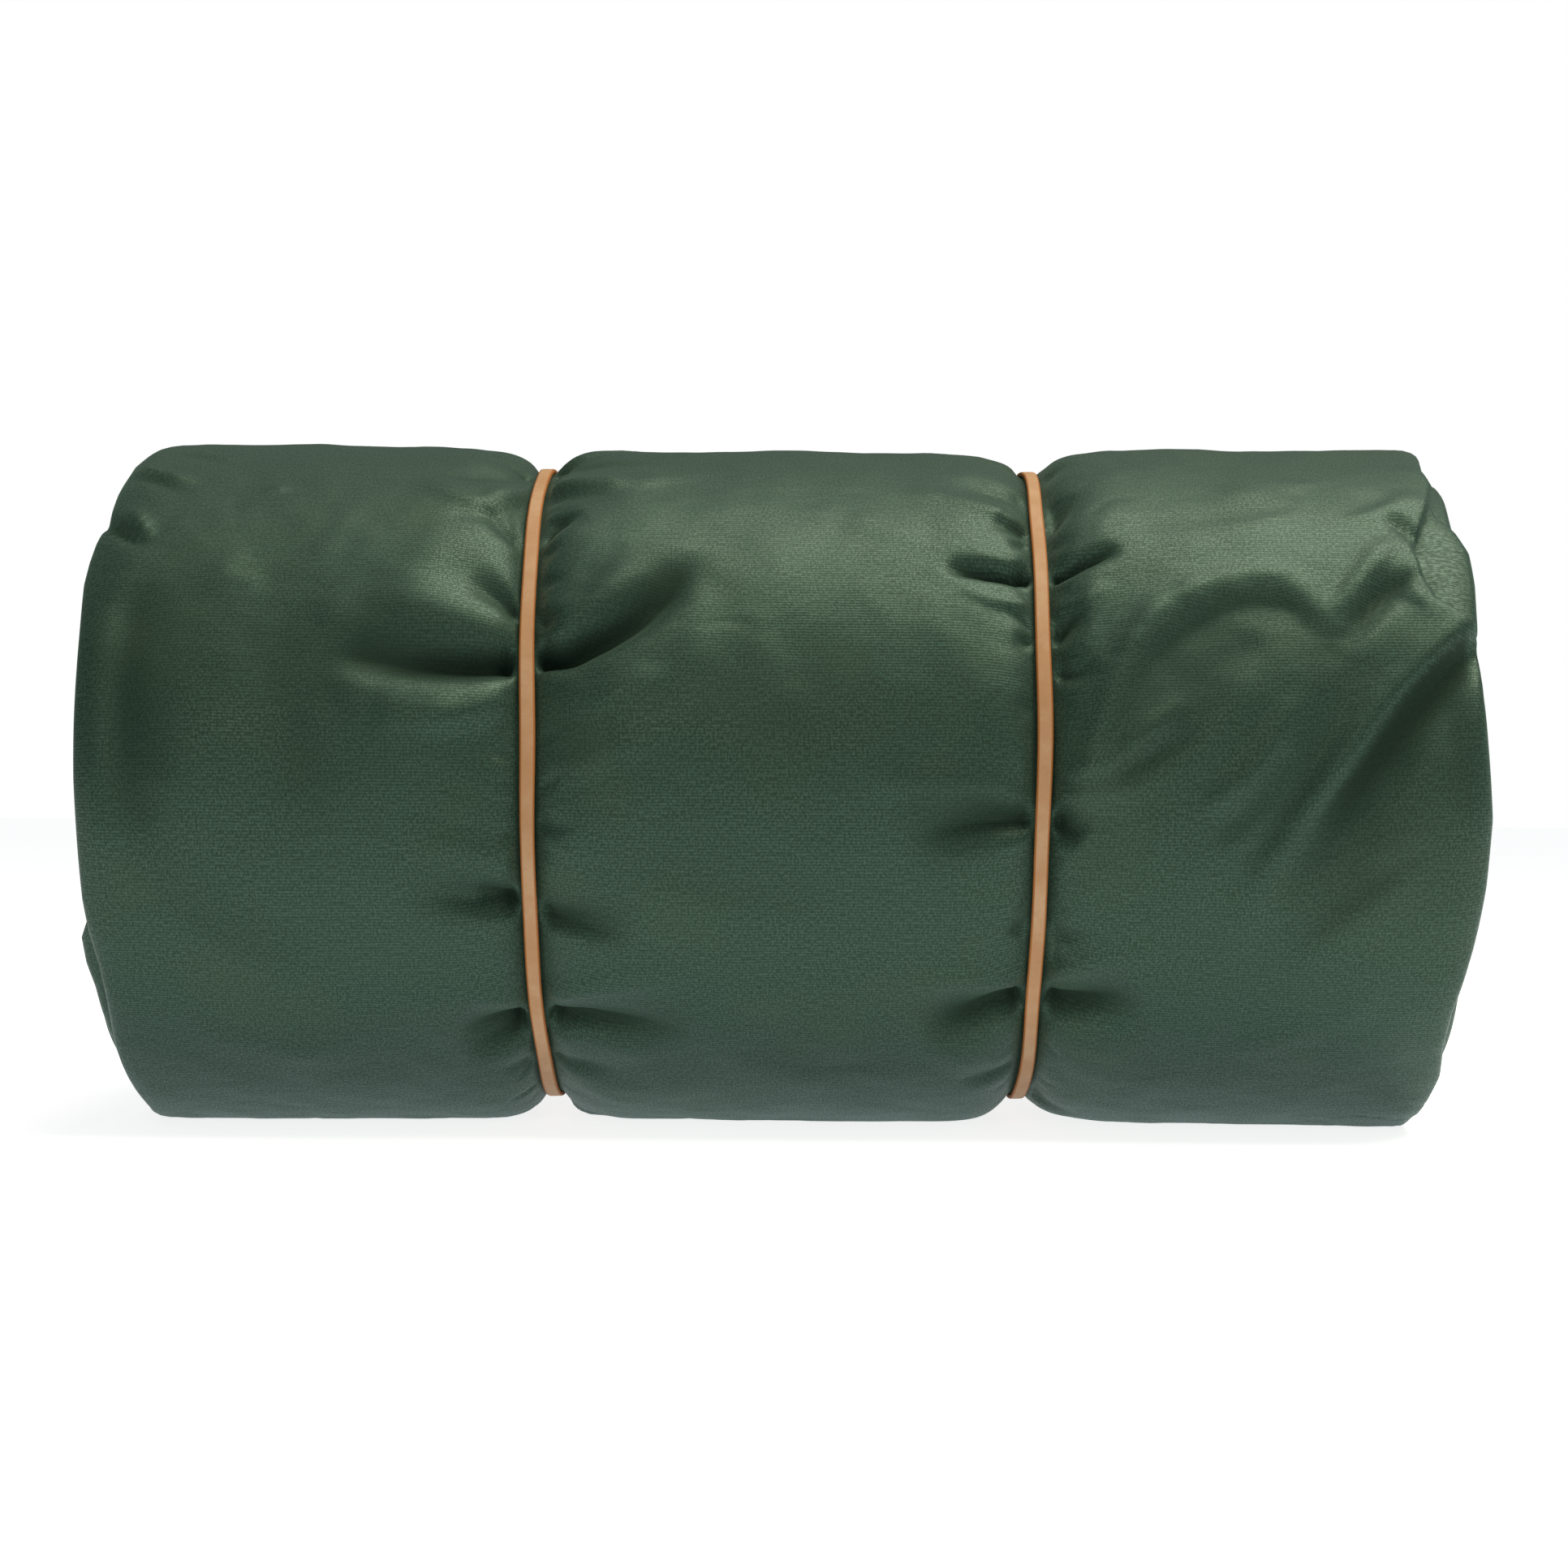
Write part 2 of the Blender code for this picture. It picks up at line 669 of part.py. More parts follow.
def snap_hook(side, place):
    """One snap hook's four pieces, lying flat on the pegs."""
    pivot = (PIVOT_U, GATE_LINE)
    latch = (LATCH_U, GATE_LINE)
    pin_length = HOOK_BAR * 0.92
    return [
        (pivoted(hook_body(f"snap_hook_{side}"), (0, 0), place), "aluminium"),
        (pivoted(hook_gate(f"snap_hook_gate_{side}"), pivot, place), "aluminium"),
        (
            pivoted(drum(f"snap_hook_rivet_{side}", pivot, RIVET_DIAMETER, pin_length, 12), pivot, place),
            "steel",
        ),
        (
            pivoted(drum(f"snap_hook_latch_{side}", latch, LATCH_DIAMETER, pin_length, 12), latch, place),
            "steel",
        ),
    ]


# Finishes: colour, roughness and metallic value
FINISHES = {
    "green_nylon": ((0.085, 0.125, 0.082), 0.62, 0.0),
    "bed_nylon": ((0.070, 0.105, 0.072), 0.66, 0.0),
    "net_mesh": ((0.030, 0.036, 0.031), 0.85, 0.0),
    "tan_rubber": ((0.640, 0.430, 0.270), 0.55, 0.0),
    "webbing": ((0.030, 0.032, 0.034), 0.80, 0.0),
    "steel": ((0.560, 0.565, 0.570), 0.30, 1.0),
    "aluminium": ((0.620, 0.630, 0.640), 0.34, 1.0),
}


def finish(name):
    """The named finish as a material."""
    found = bpy.data.materials.get(name)
    if found:
        return found
    colour, roughness, metallic = FINISHES[name]
    material = bpy.data.materials.new(name)
    material.use_nodes = True
    surface = material.node_tree.nodes["Principled BSDF"]
    surface.inputs["Base Color"].default_value = (*colour, 1)
    surface.inputs["Roughness"].default_value = roughness
    surface.inputs["Metallic"].default_value = metallic
    material.diffuse_color = (*colour, 1)
    return material


def pieces():
    """Every piece of the object with the name of its finish."""
    winding = Winding()
    made = []
    for strip, section, look in (
        (winding.net, net_section, "net_mesh"),
        (winding.bed, bed_section, "bed_nylon"),
        (winding.fly, fly_section, "green_nylon"),
    ):
        stations = range(strip.first, strip.last + 1)
        made.append((lofted(strip.name, [section(winding, i) for i in stations]), look))
    for band in BANDS:
        made.append((rubber_band(winding, band), "tan_rubber"))
    for side, name in ((-1, "tree_strap_front"), (1, "tree_strap_back")):
        made.append((tree_strap(name, side), "webbing"))
    for number in range(PEG_COUNT):
        made.append((peg(number), "steel"))
    for side, place in (("left", -HOOK_SPACING / 2), ("right", HOOK_SPACING / 2)):
        made += snap_hook(side, place)
    return made


def main():
    """Build the packed hammock tent in an empty scene."""
    for old in list(bpy.data.objects):
        bpy.data.objects.remove(old)
    scene = bpy.context.scene
    part = bpy.data.collections.new("Hammock tent")
    cutters = bpy.data.collections.new("Cutters")
    scene.collection.children.link(part)
    scene.collection.children.link(cutters)
    for body, look in pieces():
        part.objects.link(body)
        body.data.materials.append(finish(look))


main()
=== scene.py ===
"""A hammock tent packed as a soft roll: three wound cloths, two rubber bands, fittings inside.

Metres, +Z up, the roll along X, its front to -Y. Places on the roll's skin are given by X and by
the climb, the angle up the front: 0 level with the axis, 90 on top, 180 at the back.
"""

import json
import logging
import math
import random
from dataclasses import dataclass, field, replace
from enum import Enum
from typing import Optional

import bmesh
import bpy
import numpy as np
from mathutils import Euler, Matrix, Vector

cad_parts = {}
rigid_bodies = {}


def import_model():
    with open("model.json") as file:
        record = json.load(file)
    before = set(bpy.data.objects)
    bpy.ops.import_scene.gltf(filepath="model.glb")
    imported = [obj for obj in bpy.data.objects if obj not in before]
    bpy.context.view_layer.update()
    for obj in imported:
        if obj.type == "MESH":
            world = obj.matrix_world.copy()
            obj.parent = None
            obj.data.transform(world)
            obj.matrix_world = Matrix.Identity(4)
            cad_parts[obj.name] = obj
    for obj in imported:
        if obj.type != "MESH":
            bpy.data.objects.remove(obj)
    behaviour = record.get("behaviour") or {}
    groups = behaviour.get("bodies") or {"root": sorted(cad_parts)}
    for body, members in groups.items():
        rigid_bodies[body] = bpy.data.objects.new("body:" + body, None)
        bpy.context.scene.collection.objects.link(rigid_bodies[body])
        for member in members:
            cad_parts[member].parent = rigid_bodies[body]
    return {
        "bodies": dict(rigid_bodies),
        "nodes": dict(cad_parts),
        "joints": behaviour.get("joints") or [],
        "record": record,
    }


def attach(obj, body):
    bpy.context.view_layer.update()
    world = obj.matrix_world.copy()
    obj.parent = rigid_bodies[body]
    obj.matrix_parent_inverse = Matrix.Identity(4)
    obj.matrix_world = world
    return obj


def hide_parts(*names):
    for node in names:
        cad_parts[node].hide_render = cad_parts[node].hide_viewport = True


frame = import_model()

log = logging.getLogger("hammock_tent")

MM = 0.001
GAP = 0.3 * MM
UV_NAME = "cloth"
# Name of the mark that carries painted shade from the skin to the cloth's colour.
PAINTED_SHADE_NAME = "hollow"

Points = np.ndarray


# Shader maths


class Wire:
    """A number in a material's node tree, for Python's own operators."""

    def __init__(self, paint: "Paint", socket: bpy.types.NodeSocket) -> None:
        """Wrap one output socket.

        Args:
            paint: The material that the socket is in.
            socket: The output that carries the number.
        """
        self.paint = paint
        self.socket = socket

    def maths(self, operation: str, *others: "Wire | float", first: bool = True) -> "Wire":
        """One Math node on this number.

        Args:
            operation: Blender's name of the operation.
            others: The other numbers.
            first: Whether this number is the first of them.

        Returns:
            The result.
        """
        values = [self, *others] if first else [*others, self]
        made = self.paint.node("ShaderNodeMath", {"operation": operation}, dict(enumerate(values)))
        return Wire(self.paint, made.outputs[0])

    def __add__(self, other: "Wire | float") -> "Wire":
        """This plus another."""
        return self.maths("ADD", other)

    def __radd__(self, other: float) -> "Wire":
        """A number plus this."""
        return self.maths("ADD", other)

    def __sub__(self, other: "Wire | float") -> "Wire":
        """This less another."""
        return self.maths("SUBTRACT", other)

    def __rsub__(self, other: float) -> "Wire":
        """A number less this."""
        return self.maths("SUBTRACT", other, first=False)

    def __mul__(self, other: "Wire | float") -> "Wire":
        """This times another."""
        return self.maths("MULTIPLY", other)

    def __rmul__(self, other: float) -> "Wire":
        """A number times this."""
        return self.maths("MULTIPLY", other)

    def __truediv__(self, other: "Wire | float") -> "Wire":
        """This over another."""
        return self.maths("DIVIDE", other)

    def __rtruediv__(self, other: float) -> "Wire":
        """A number over this."""
        return self.maths("DIVIDE", other, first=False)

    def __abs__(self) -> "Wire":
        """This without its sign."""
        return self.maths("ABSOLUTE")

    def sine(self) -> "Wire":
        """The sine of this angle in radians."""
        return self.maths("SINE")

    def between(self, low: float, high: float) -> "Wire":
        """A smooth step that is 0 at low and 1 at high.

        Args:
            low: Where the step starts.
            high: Where it ends.

        Returns:
            The step, from 0 to 1.
        """
        settings = {"interpolation_type": "SMOOTHSTEP"}
        made = self.paint.node("ShaderNodeMapRange", settings, {0: self, 1: low, 2: high})
        return Wire(self.paint, made.outputs[0])


class Paint:
    """One material and the nodes in it."""

    def __init__(self, name: str, library: Optional[bpy.types.bpy_prop_collection] = None) -> None:
        """Start an empty material, or the surroundings where the library is that of worlds.

        Args:
            name: The material's name.
            library: Where it is made, if not among the materials.
        """
        self.owner = (bpy.data.materials if library is None else library).new(name)
        self.owner.use_nodes = True
        self.tree = self.owner.node_tree
        self.tree.nodes.clear()

    def node(self, kind: str, settings: dict, values: dict) -> bpy.types.Node:
        """Add a node, set it up, then feed its sockets.

        Args:
            kind: Blender's name of the node type.
            settings: The node's own settings.
            values: What goes into each input, by the input's name or number.

        Returns:
            The node.
        """
        made = self.tree.nodes.new(kind)
        for name, value in settings.items():
            setattr(made, name, value)
        for name, value in values.items():
            source = value.socket if isinstance(value, Wire) else value
            if isinstance(source, bpy.types.NodeSocket):
                self.tree.links.new(source, made.inputs[name])
            else:
                made.inputs[name].default_value = source
        return made

    def surface_place(self) -> bpy.types.NodeSocket:
        """The piece's own chart, in metres along the cloth."""
        return self.node("ShaderNodeUVMap", {"uv_map": UV_NAME}, {}).outputs[0]

    def object_place(self) -> bpy.types.NodeSocket:
        """The place in the object's own space."""
        return self.node("ShaderNodeTexCoord", {}, {}).outputs["Object"]

    def mark(self, name: str) -> Wire:
        """A number that the piece carries at each point, 0 where it has none."""
        made = self.node("ShaderNodeAttribute", {"attribute_name": name}, {})
        return Wire(self, made.outputs["Fac"])

    def parts(self, place: bpy.types.NodeSocket) -> tuple[Wire, Wire, Wire]:
        """A vector's three numbers."""
        made = self.node("ShaderNodeSeparateXYZ", {}, {0: place})
        return tuple(Wire(self, out) for out in made.outputs)

    def stretched(self, place: bpy.types.NodeSocket, scale: tuple) -> bpy.types.NodeSocket:
        """A place scaled along each axis."""
        made = self.node("ShaderNodeVectorMath", {"operation": "MULTIPLY"}, {0: place, 1: scale})
        return made.outputs[0]

    def noise(
        self, place: bpy.types.NodeSocket, scale: float, detail: float = 2.0, rough: float = 0.5
    ) -> Wire:
        """Soft noise from 0 to 1.

        Args:
            place: Where it is read.
            scale: Bumps per metre.
            detail: How many finer layers it has.
            rough: How strong those are.

        Returns:
            The noise.
        """
        values = {"Vector": place, "Scale": scale, "Detail": detail, "Roughness": rough}
        return Wire(self, self.node("ShaderNodeTexNoise", {}, values).outputs[0])

    def mixed(
        self,
        share: "Wire | float",
        first: "tuple | bpy.types.NodeSocket",
        second: "tuple | bpy.types.NodeSocket",
    ) -> bpy.types.NodeSocket:
        """A colour between two.

        Args:
            share: How much of the second, from 0 to 1.
            first: The first colour.
            second: The second colour.

        Returns:
            The mixed colour.
        """
        settings = {"data_type": "RGBA", "clamp_factor": True}
        colours = [(*c, 1.0) if isinstance(c, tuple) else c for c in (first, second)]
        values = {0: share, 6: colours[0], 7: colours[1]}
        return self.node("ShaderNodeMix", settings, values).outputs[2]

    def finish(
        self,
        colour: bpy.types.NodeSocket,
        roughness: "Wire | float",
        height: Optional[Wire],
        distance: float,
        strength: float = 1.0,
        **constants: "float | tuple",
    ) -> bpy.types.Material:
        """Close the material with its shader.

        Args:
            colour: The base colour.
            roughness: The roughness.
            height: The bump's height from 0 to 1, if it has one.
            distance: How high the bump is, in metres.
            strength: How much of the bump shows.
            constants: Other sockets of the shader, by name with _ for a space.

        Returns:
            The material.
        """
        values = {"Base Color": colour, "Roughness": roughness}
        values |= {name.replace("_", " "): value for name, value in constants.items()}
        if height is not None:
            relief = {"Strength": strength, "Distance": distance, "Height": height}
            values["Normal"] = self.node("ShaderNodeBump", {}, relief).outputs[0]
        shader = self.node("ShaderNodeBsdfPrincipled", {}, values)
        self.node("ShaderNodeOutputMaterial", {}, {0: shader.outputs[0]})
        return self.owner

    def close_world(self, colour: bpy.types.NodeSocket, strength: Wire) -> None:
        """Close the surroundings with light of this colour and strength."""
        light = self.node("ShaderNodeBackground", {}, {"Color": colour, 1: strength})
        self.node("ShaderNodeOutputWorld", {}, {0: light.outputs[0]})


# Finishes


@dataclass(frozen=True)
class WovenNylon:
    """A plain-weave nylon: crossing threads with a soft sheen, darker between the threads; painted
    shade darkens it in its folds and beside the bands, and its flecks are partly painted
    highlights.
    """

    name: str
    light: tuple = (0.027, 0.058, 0.041)
    dark: tuple = (0.006, 0.014, 0.010)
    warm: tuple = (0.034, 0.052, 0.026)
    thread: float = 0.33 * MM
    roughness: float = 0.53
    # deep is the colour of the painted shade in folds and beside the bands, and of the seam's dark
    # line.
    deep: tuple = (0.0022, 0.0050, 0.0034)
    hem_at: float = 0.0
    stitch: float = 2.6 * MM
    sheen: float = 0.13
    glint: float = 0.55
    relief: float = 0.10 * MM

    def made(self) -> bpy.types.Material:
        """The material."""
        paint = Paint(self.name)
        place = paint.surface_place()
        along, round_roll, _ = paint.parts(place)
        wobble = paint.noise(place, 240.0) * (0.9 * self.thread)
        turn = math.pi / self.thread
        warp = ((along + wobble) * turn).sine()
        weft = ((round_roll + wobble) * turn).sine()
        weave = weft * 0.26 + warp * weft * 0.14 + 0.5
        slub = paint.noise(paint.stretched(place, (1.0, 5.0, 1.0)), 420.0, 2.0)
        fleck = paint.noise(paint.stretched(place, (1.0, 0.6, 1.0)), 2100.0, 2.0, 0.7)
        crumple = paint.noise(place, 160.0, 4.0, 0.6)
        patches = paint.noise(place, 26.0, 3.0, 0.55)
        # The flecks lighten and darken single threads: partly the threads' own tone, partly painted
        # thread highlights, stronger in random patches.
        sparkle = patches.between(0.42, 0.58) * 1.9 + 2.2
        thread_light = (weave * 0.5 + slub * 0.3 + (fleck - 0.5) * sparkle).between(0.02, 0.76)
        base = paint.mixed(thread_light, self.dark, self.light)
        hued = paint.mixed(patches.between(0.46, 0.72) * 0.35, base, self.warm)
        # Painted shade: the mark from the skin darkens the cloth towards deep along its fold
        # valleys and beside the bands, and takes its coat away there.
        hollow = paint.mark(PAINTED_SHADE_NAME)
        sunk = paint.mixed(hollow * 0.94, hued, self.deep)
        glint = (fleck * 0.7 + weave * 0.3).between(0.48, 0.68) * self.glint * (1.0 - hollow)
        height = weave * 0.55 + fleck * 0.25 + crumple * 0.9
        if self.hem_at:
            seam = 1.0 - abs(round_roll - self.hem_at).between(0.25 * MM, 0.7 * MM)
            stitched = seam * (along * (math.pi / self.stitch)).sine().between(-0.5, 0.1)
            height = height - seam * 2.6 + stitched * 2.2
            pale = stitched * 0.5
            sunk = paint.mixed(pale, paint.mixed(seam * 0.5, sunk, self.deep), self.light)
        rough = self.roughness + (patches - 0.5) * 0.16 - thread_light * 0.06 + hollow * 0.25
        return paint.finish(
            sunk,
            rough,
            height,
            self.relief,
            0.75,
            Coat_Weight=glint,
            Coat_Roughness=0.30,
            Sheen_Weight=self.sheen,
            Sheen_Roughness=0.5,
            Sheen_Tint=(0.55, 0.90, 0.62, 1.0),
            Specular_IOR_Level=0.66,
            Specular_Tint=(0.60, 1.0, 0.66, 1.0),
        )


@dataclass(frozen=True)
class NetMesh:
    """A fine insect net, many plies deep: thin dark yarns round cells that are painted near black
    as shade for the plies beneath.
    """

    name: str
    yarn: tuple = (0.040, 0.048, 0.041)
    opening_shade: tuple = (0.009, 0.011, 0.010)
    cell: float = 1.1 * MM
    relief: float = 0.16 * MM

    def made(self) -> bpy.types.Material:
        """The material."""
        paint = Paint(self.name)
        place = paint.surface_place()
        along, round_roll, _ = paint.parts(place)
        wobble = paint.noise(place, 300.0) * (0.8 * self.cell)
        turn = math.pi / self.cell
        one = abs(((along + round_roll + wobble) * turn).sine())
        other = abs(((along - round_roll + wobble) * turn).sine())
        yarns = 1.0 - (one * other).between(0.08, 0.34)
        folds = paint.noise(place, 130.0, 4.0, 0.6)
        dusty = paint.noise(place, 40.0, 3.0)
        # The cells between the yarns are painted near black: painted shade for the plies beneath,
        # as the net has no real holes.
        base = paint.mixed(yarns * 0.85, self.opening_shade, self.yarn)
        worn = paint.mixed(dusty.between(0.5, 0.8) * 0.25, base, (0.075, 0.082, 0.072))
        rough = 0.72 + (dusty - 0.5) * 0.15
        height = yarns * 0.6 + folds * 0.9
        return paint.finish(
            worn, rough, height, self.relief, 0.8, Sheen_Weight=0.2, Sheen_Roughness=0.5
        )


@dataclass(frozen=True)
class BandRubber:
    """Natural tan rubber: a dusty face, cut sides that glow orange, and a fine grain."""

    name: str
    face: tuple = (0.560, 0.285, 0.125)
    dusty: tuple = (0.660, 0.400, 0.220)
    cut: tuple = (0.460, 0.160, 0.034)
    relief: float = 0.05 * MM

    def made(self) -> bpy.types.Material:
        """The material; the chart's second axis runs 0 to 1 over the band's face."""
        paint = Paint(self.name)
        place = paint.surface_place()
        _, section, _ = paint.parts(place)
        solid = paint.object_place()
        grain = paint.noise(solid, 2600.0, 3.0, 0.65)
        clouds = paint.noise(solid, 90.0, 4.0, 0.6)
        wear = paint.noise(paint.stretched(place, (1.0, 0.002, 1.0)), 700.0, 3.0, 0.6)
        on_face = 1.0 - abs(section - 0.5).between(0.40, 0.56)
        base = paint.mixed(clouds.between(0.35, 0.7) * 0.8, self.face, self.dusty)
        streaked = paint.mixed(wear.between(0.5, 0.75) * 0.35, base, (0.46, 0.25, 0.11))
        sided = paint.mixed(on_face, self.cut, streaked)
        rough = 0.62 + (clouds - 0.5) * 0.2
        height = grain * 0.5 + wear * 0.5
        return paint.finish(
            sided,
            rough,
            height,
            self.relief,
            0.6,
            Subsurface_Weight=0.12,
            Subsurface_Radius=(0.6, 0.25, 0.1),
            Subsurface_Scale=0.0012,
            Specular_IOR_Level=0.4,
        )


@dataclass(frozen=True)
class WovenWebbing:
    """Flat woven webbing: lengthwise ribs, crossed by fine picks, with firmer edges."""

    name: str
    rib: tuple = (0.044, 0.047, 0.050)
    gap: tuple = (0.010, 0.011, 0.012)
    width: float = 25.0 * MM
    pitch: float = 1.25 * MM

    def made(self) -> bpy.types.Material:
        """The material."""
        paint = Paint(self.name)
        place = paint.surface_place()
        along, across, _ = paint.parts(place)
        ribs = abs((across * (math.pi / self.pitch)).sine())
        picks = abs(((along + across * 0.5) * (math.pi / (0.6 * self.pitch))).sine())
        fuzz = paint.noise(place, 1800.0, 2.0)
        edge = abs(across / self.width).between(0.44, 0.49)
        height = ribs * 0.6 + picks * 0.3 + fuzz * 0.2
        base = paint.mixed(height.between(0.2, 0.95), self.gap, self.rib)
        edged = paint.mixed(edge * 0.5, base, (0.030, 0.032, 0.034))
        return paint.finish(
            edged, 0.7 + (fuzz - 0.5) * 0.2, height, 0.15 * MM, 0.9, Sheen_Weight=0.15
        )


@dataclass(frozen=True)
class DrawnSteel:
    """Bright drawn wire, with faint marks from the die and worn spots."""

    name: str
    bright: tuple = (0.60, 0.605, 0.61)
    dull: tuple = (0.38, 0.385, 0.39)

    def made(self) -> bpy.types.Material:
        """The material."""
        paint = Paint(self.name)
        place = paint.object_place()
        draw = paint.noise(paint.stretched(place, (0.06, 1.0, 1.0)), 2400.0, 3.0, 0.6)
        spots = paint.noise(place, 260.0, 4.0, 0.6)
        base = paint.mixed(spots.between(0.45, 0.75) * 0.7, self.bright, self.dull)
        rough = 0.24 + draw * 0.16 + spots * 0.1
        return paint.finish(base, rough, draw, 0.02 * MM, 0.5, Metallic=1.0)


@dataclass(frozen=True)
class SatinAluminium:
    """Tumbled and anodised aluminium with small scratches."""

    name: str
    clean: tuple = (0.64, 0.65, 0.66)
    rubbed: tuple = (0.74, 0.745, 0.75)

    def made(self) -> bpy.types.Material:
        """The material."""
        paint = Paint(self.name)
        place = paint.object_place()
        tumble = paint.noise(place, 1900.0, 4.0, 0.65)
        scratch = paint.noise(paint.stretched(place, (0.15, 1.6, 1.0)), 1300.0, 2.0, 0.5)
        wear = paint.noise(place, 120.0, 3.0, 0.6)
        base = paint.mixed(wear.between(0.5, 0.8) * 0.6, self.clean, self.rubbed)
        rough = 0.34 + tumble * 0.14 - scratch.between(0.6, 0.75) * 0.1
        height = tumble * 0.6 + scratch * 0.4
        return paint.finish(base, rough, height, 0.015 * MM, 0.5, Metallic=1.0)


@dataclass(frozen=True)
class StudioPaper:
    """Plain pale paper."""

    name: str
    shade: tuple = (0.70, 0.71, 0.72)
    glow: float = 0.0
    seen_glow: float = 0.82

    def made(self) -> bpy.types.Material:
        """The material."""
        paint = Paint(self.name)
        pulp = paint.noise(paint.object_place(), 30.0, 2.0)
        base = paint.mixed(pulp, self.shade, (0.74, 0.75, 0.76))
        seen = Wire(paint, paint.node("ShaderNodeLightPath", {}, {}).outputs["Is Camera Ray"])
        cool = (0.93 * self.glow, 0.99 * self.glow, 1.10 * self.glow)
        glow = paint.mixed(seen, cool, (self.seen_glow,) * 3)
        constants = {"Emission_Strength": 1.0, "Specular_IOR_Level": 0.1}
        return paint.finish(base, 0.9, pulp, 0.01 * MM, 0.1, Emission_Color=glow, **constants)


# Helpers


def linked(name: str, data: bpy.types.ID) -> bpy.types.Object:
    """An object with this data, put in the scene."""
    made = bpy.data.objects.new(name, data)
    bpy.context.scene.collection.objects.link(made)
    return made


def eased(share: Points) -> Points:
    """A smooth step from 0 to 1."""
    share = np.clip(share, 0.0, 1.0)
    return share * share * (3 - 2 * share)


def bump(place: Points, middle: float, spread: float) -> Points:
    """A soft bump that is 1 at its middle."""
    return np.exp(-(((place - middle) / spread) ** 2))


def run_along(steps: Points) -> Points:
    """How far along each point lies, from the steps between the points."""
    return np.concatenate([[0.0], np.cumsum(steps)])


# The roll's winding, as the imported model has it


@dataclass(frozen=True)
class Strip:
    """One cloth of the roll, folded to a strip, from its first station to its last."""

    first: int
    last: int
    thickness: float


@dataclass
class Winding:
    """The spiral that the three cloths follow: radii at stations, 28 to a turn."""

    turn: int = 28
    packed_radius: float = 79.3 * MM
    depth_share: float = 80.0 / 79.3
    axis_height: float = 76.7 * MM
    core_radius: float = 29.58 * MM
    skin_radius: float = 77.0 * MM
    pinched_radius: float = 71.0 * MM
    tip: float = 4.0 * MM
    least_ply: float = 2.0 * MM
    free_edge_from_floor: int = 4
    taper: int = 5
    edge_ease: int = 3
    net: Strip = Strip(0, 64, 6.0 * MM)
    bed: Strip = Strip(65, 114, 8.7 * MM)
    fly: Strip = Strip(115, 148, 12.0 * MM)
    stations: Points = field(init=False)
    inner: Points = field(init=False)
    outer: Points = field(init=False)
    floor: Points = field(init=False)

    def __post_init__(self) -> None:
        """Wind the strips, then draw them in to the skin's own radius."""
        count = self.fly.last + 1
        self.stations = np.arange(count, dtype=float)
        inner, outer = self._wound()
        self._make_round(inner, outer)
        floor = [self._floor_at(station, outer) for station in range(count)]
        slack = (self.skin_radius - self.core_radius) / (self.packed_radius - self.core_radius)
        self.inner = self.core_radius + (np.array(inner) - self.core_radius) * slack
        self.outer = self.core_radius + (np.array(outer) - self.core_radius) * slack
        self.floor = np.minimum(np.array(floor), self.outer)

    def _thickness(self, station: int) -> float:
        """How thick the strip is at a station, thinned at its tips."""
        strip = next(s for s in (self.net, self.bed, self.fly) if station <= s.last)
        ends = [strip.thickness]
        if strip is not self.bed:
            ends.append(self._tapered(strip, station - strip.first))
        if strip is self.fly:
            ends.append(self._tapered(strip, strip.last - station))
        return min(ends)

    def _tapered(self, strip: Strip, from_tip: float) -> float:
        """A strip's thickness this many stations from its tip."""
        share = float(eased(np.array(from_tip / self.taper)))
        return self.tip + (strip.thickness - self.tip) * share

    def _wound(self) -> tuple[list, list]:
        """Each turn's radii, laid on the turn below."""
        inner, outer = [], []
        for station in range(self.fly.last + 1):
            if station < self.turn:
                climb = float(eased(np.array((station - self.turn + self.taper) / self.taper)))
                radius = self.core_radius + climb * (self.tip + GAP)
            else:
                radius = outer[station - self.turn] + GAP
            inner.append(radius)
            outer.append(radius + self._thickness(station))
        return inner, outer

    def _edge_rise(self, station: int) -> float:
        """How far the free edge has risen, from 0 to 1."""
        return float(eased(np.array((station - self.fly.last + self.edge_ease) / self.edge_ease)))

    def _make_round(self, inner: list, outer: list) -> None:
        """Stretch the radii at each clock angle so that the outside is round."""
        for station in range(self.fly.last - self.turn + 1, self.fly.last + 1):
            wanted = self.packed_radius + self._edge_rise(station) * (self.tip + GAP)
            stretch = (wanted - self.core_radius) / (outer[station] - self.core_radius)
            for below in range(station, -1, -self.turn):
                for radii in (inner, outer):
                    radii[below] = self.core_radius + (radii[below] - self.core_radius) * stretch

    def _exposed_floor(self, station: int) -> float:
        """Radius of the skin under a band."""
        return self.pinched_radius + self._edge_rise(station) * (self.least_ply + GAP)

    def _floor_at(self, station: int, outer: list) -> float:
        """Radius of a ply's outer side under a band."""
        if station > self.fly.last - self.turn:
            return self._exposed_floor(station)
        if station < self.fly.first:
            return outer[station]
        above = self._exposed_floor(station + self.turn)
        return min(outer[station], above - self.least_ply - GAP)

    def climb(self, station: Points) -> Points:
        """Degrees up the front at a station, wrapped to -180 to 180."""
        free_edge = -90.0 + self.free_edge_from_floor * 360.0 / self.turn
        clock = free_edge + (self.fly.last - station) * 360.0 / self.turn
        return (180.0 - clock + 180.0) % 360.0 - 180.0

    def run(self, strip: Strip) -> float:
        """A strip's length round the roll, on its outer side."""
        radii = self.outer[strip.first : strip.last + 1]
        return float((radii[1:] + radii[:-1]).sum() / 2) * math.tau / self.turn

    def at(self, station: Points, radii: Points) -> Points:
        """Radii between stations."""
        return np.interp(station, self.stations, radii)

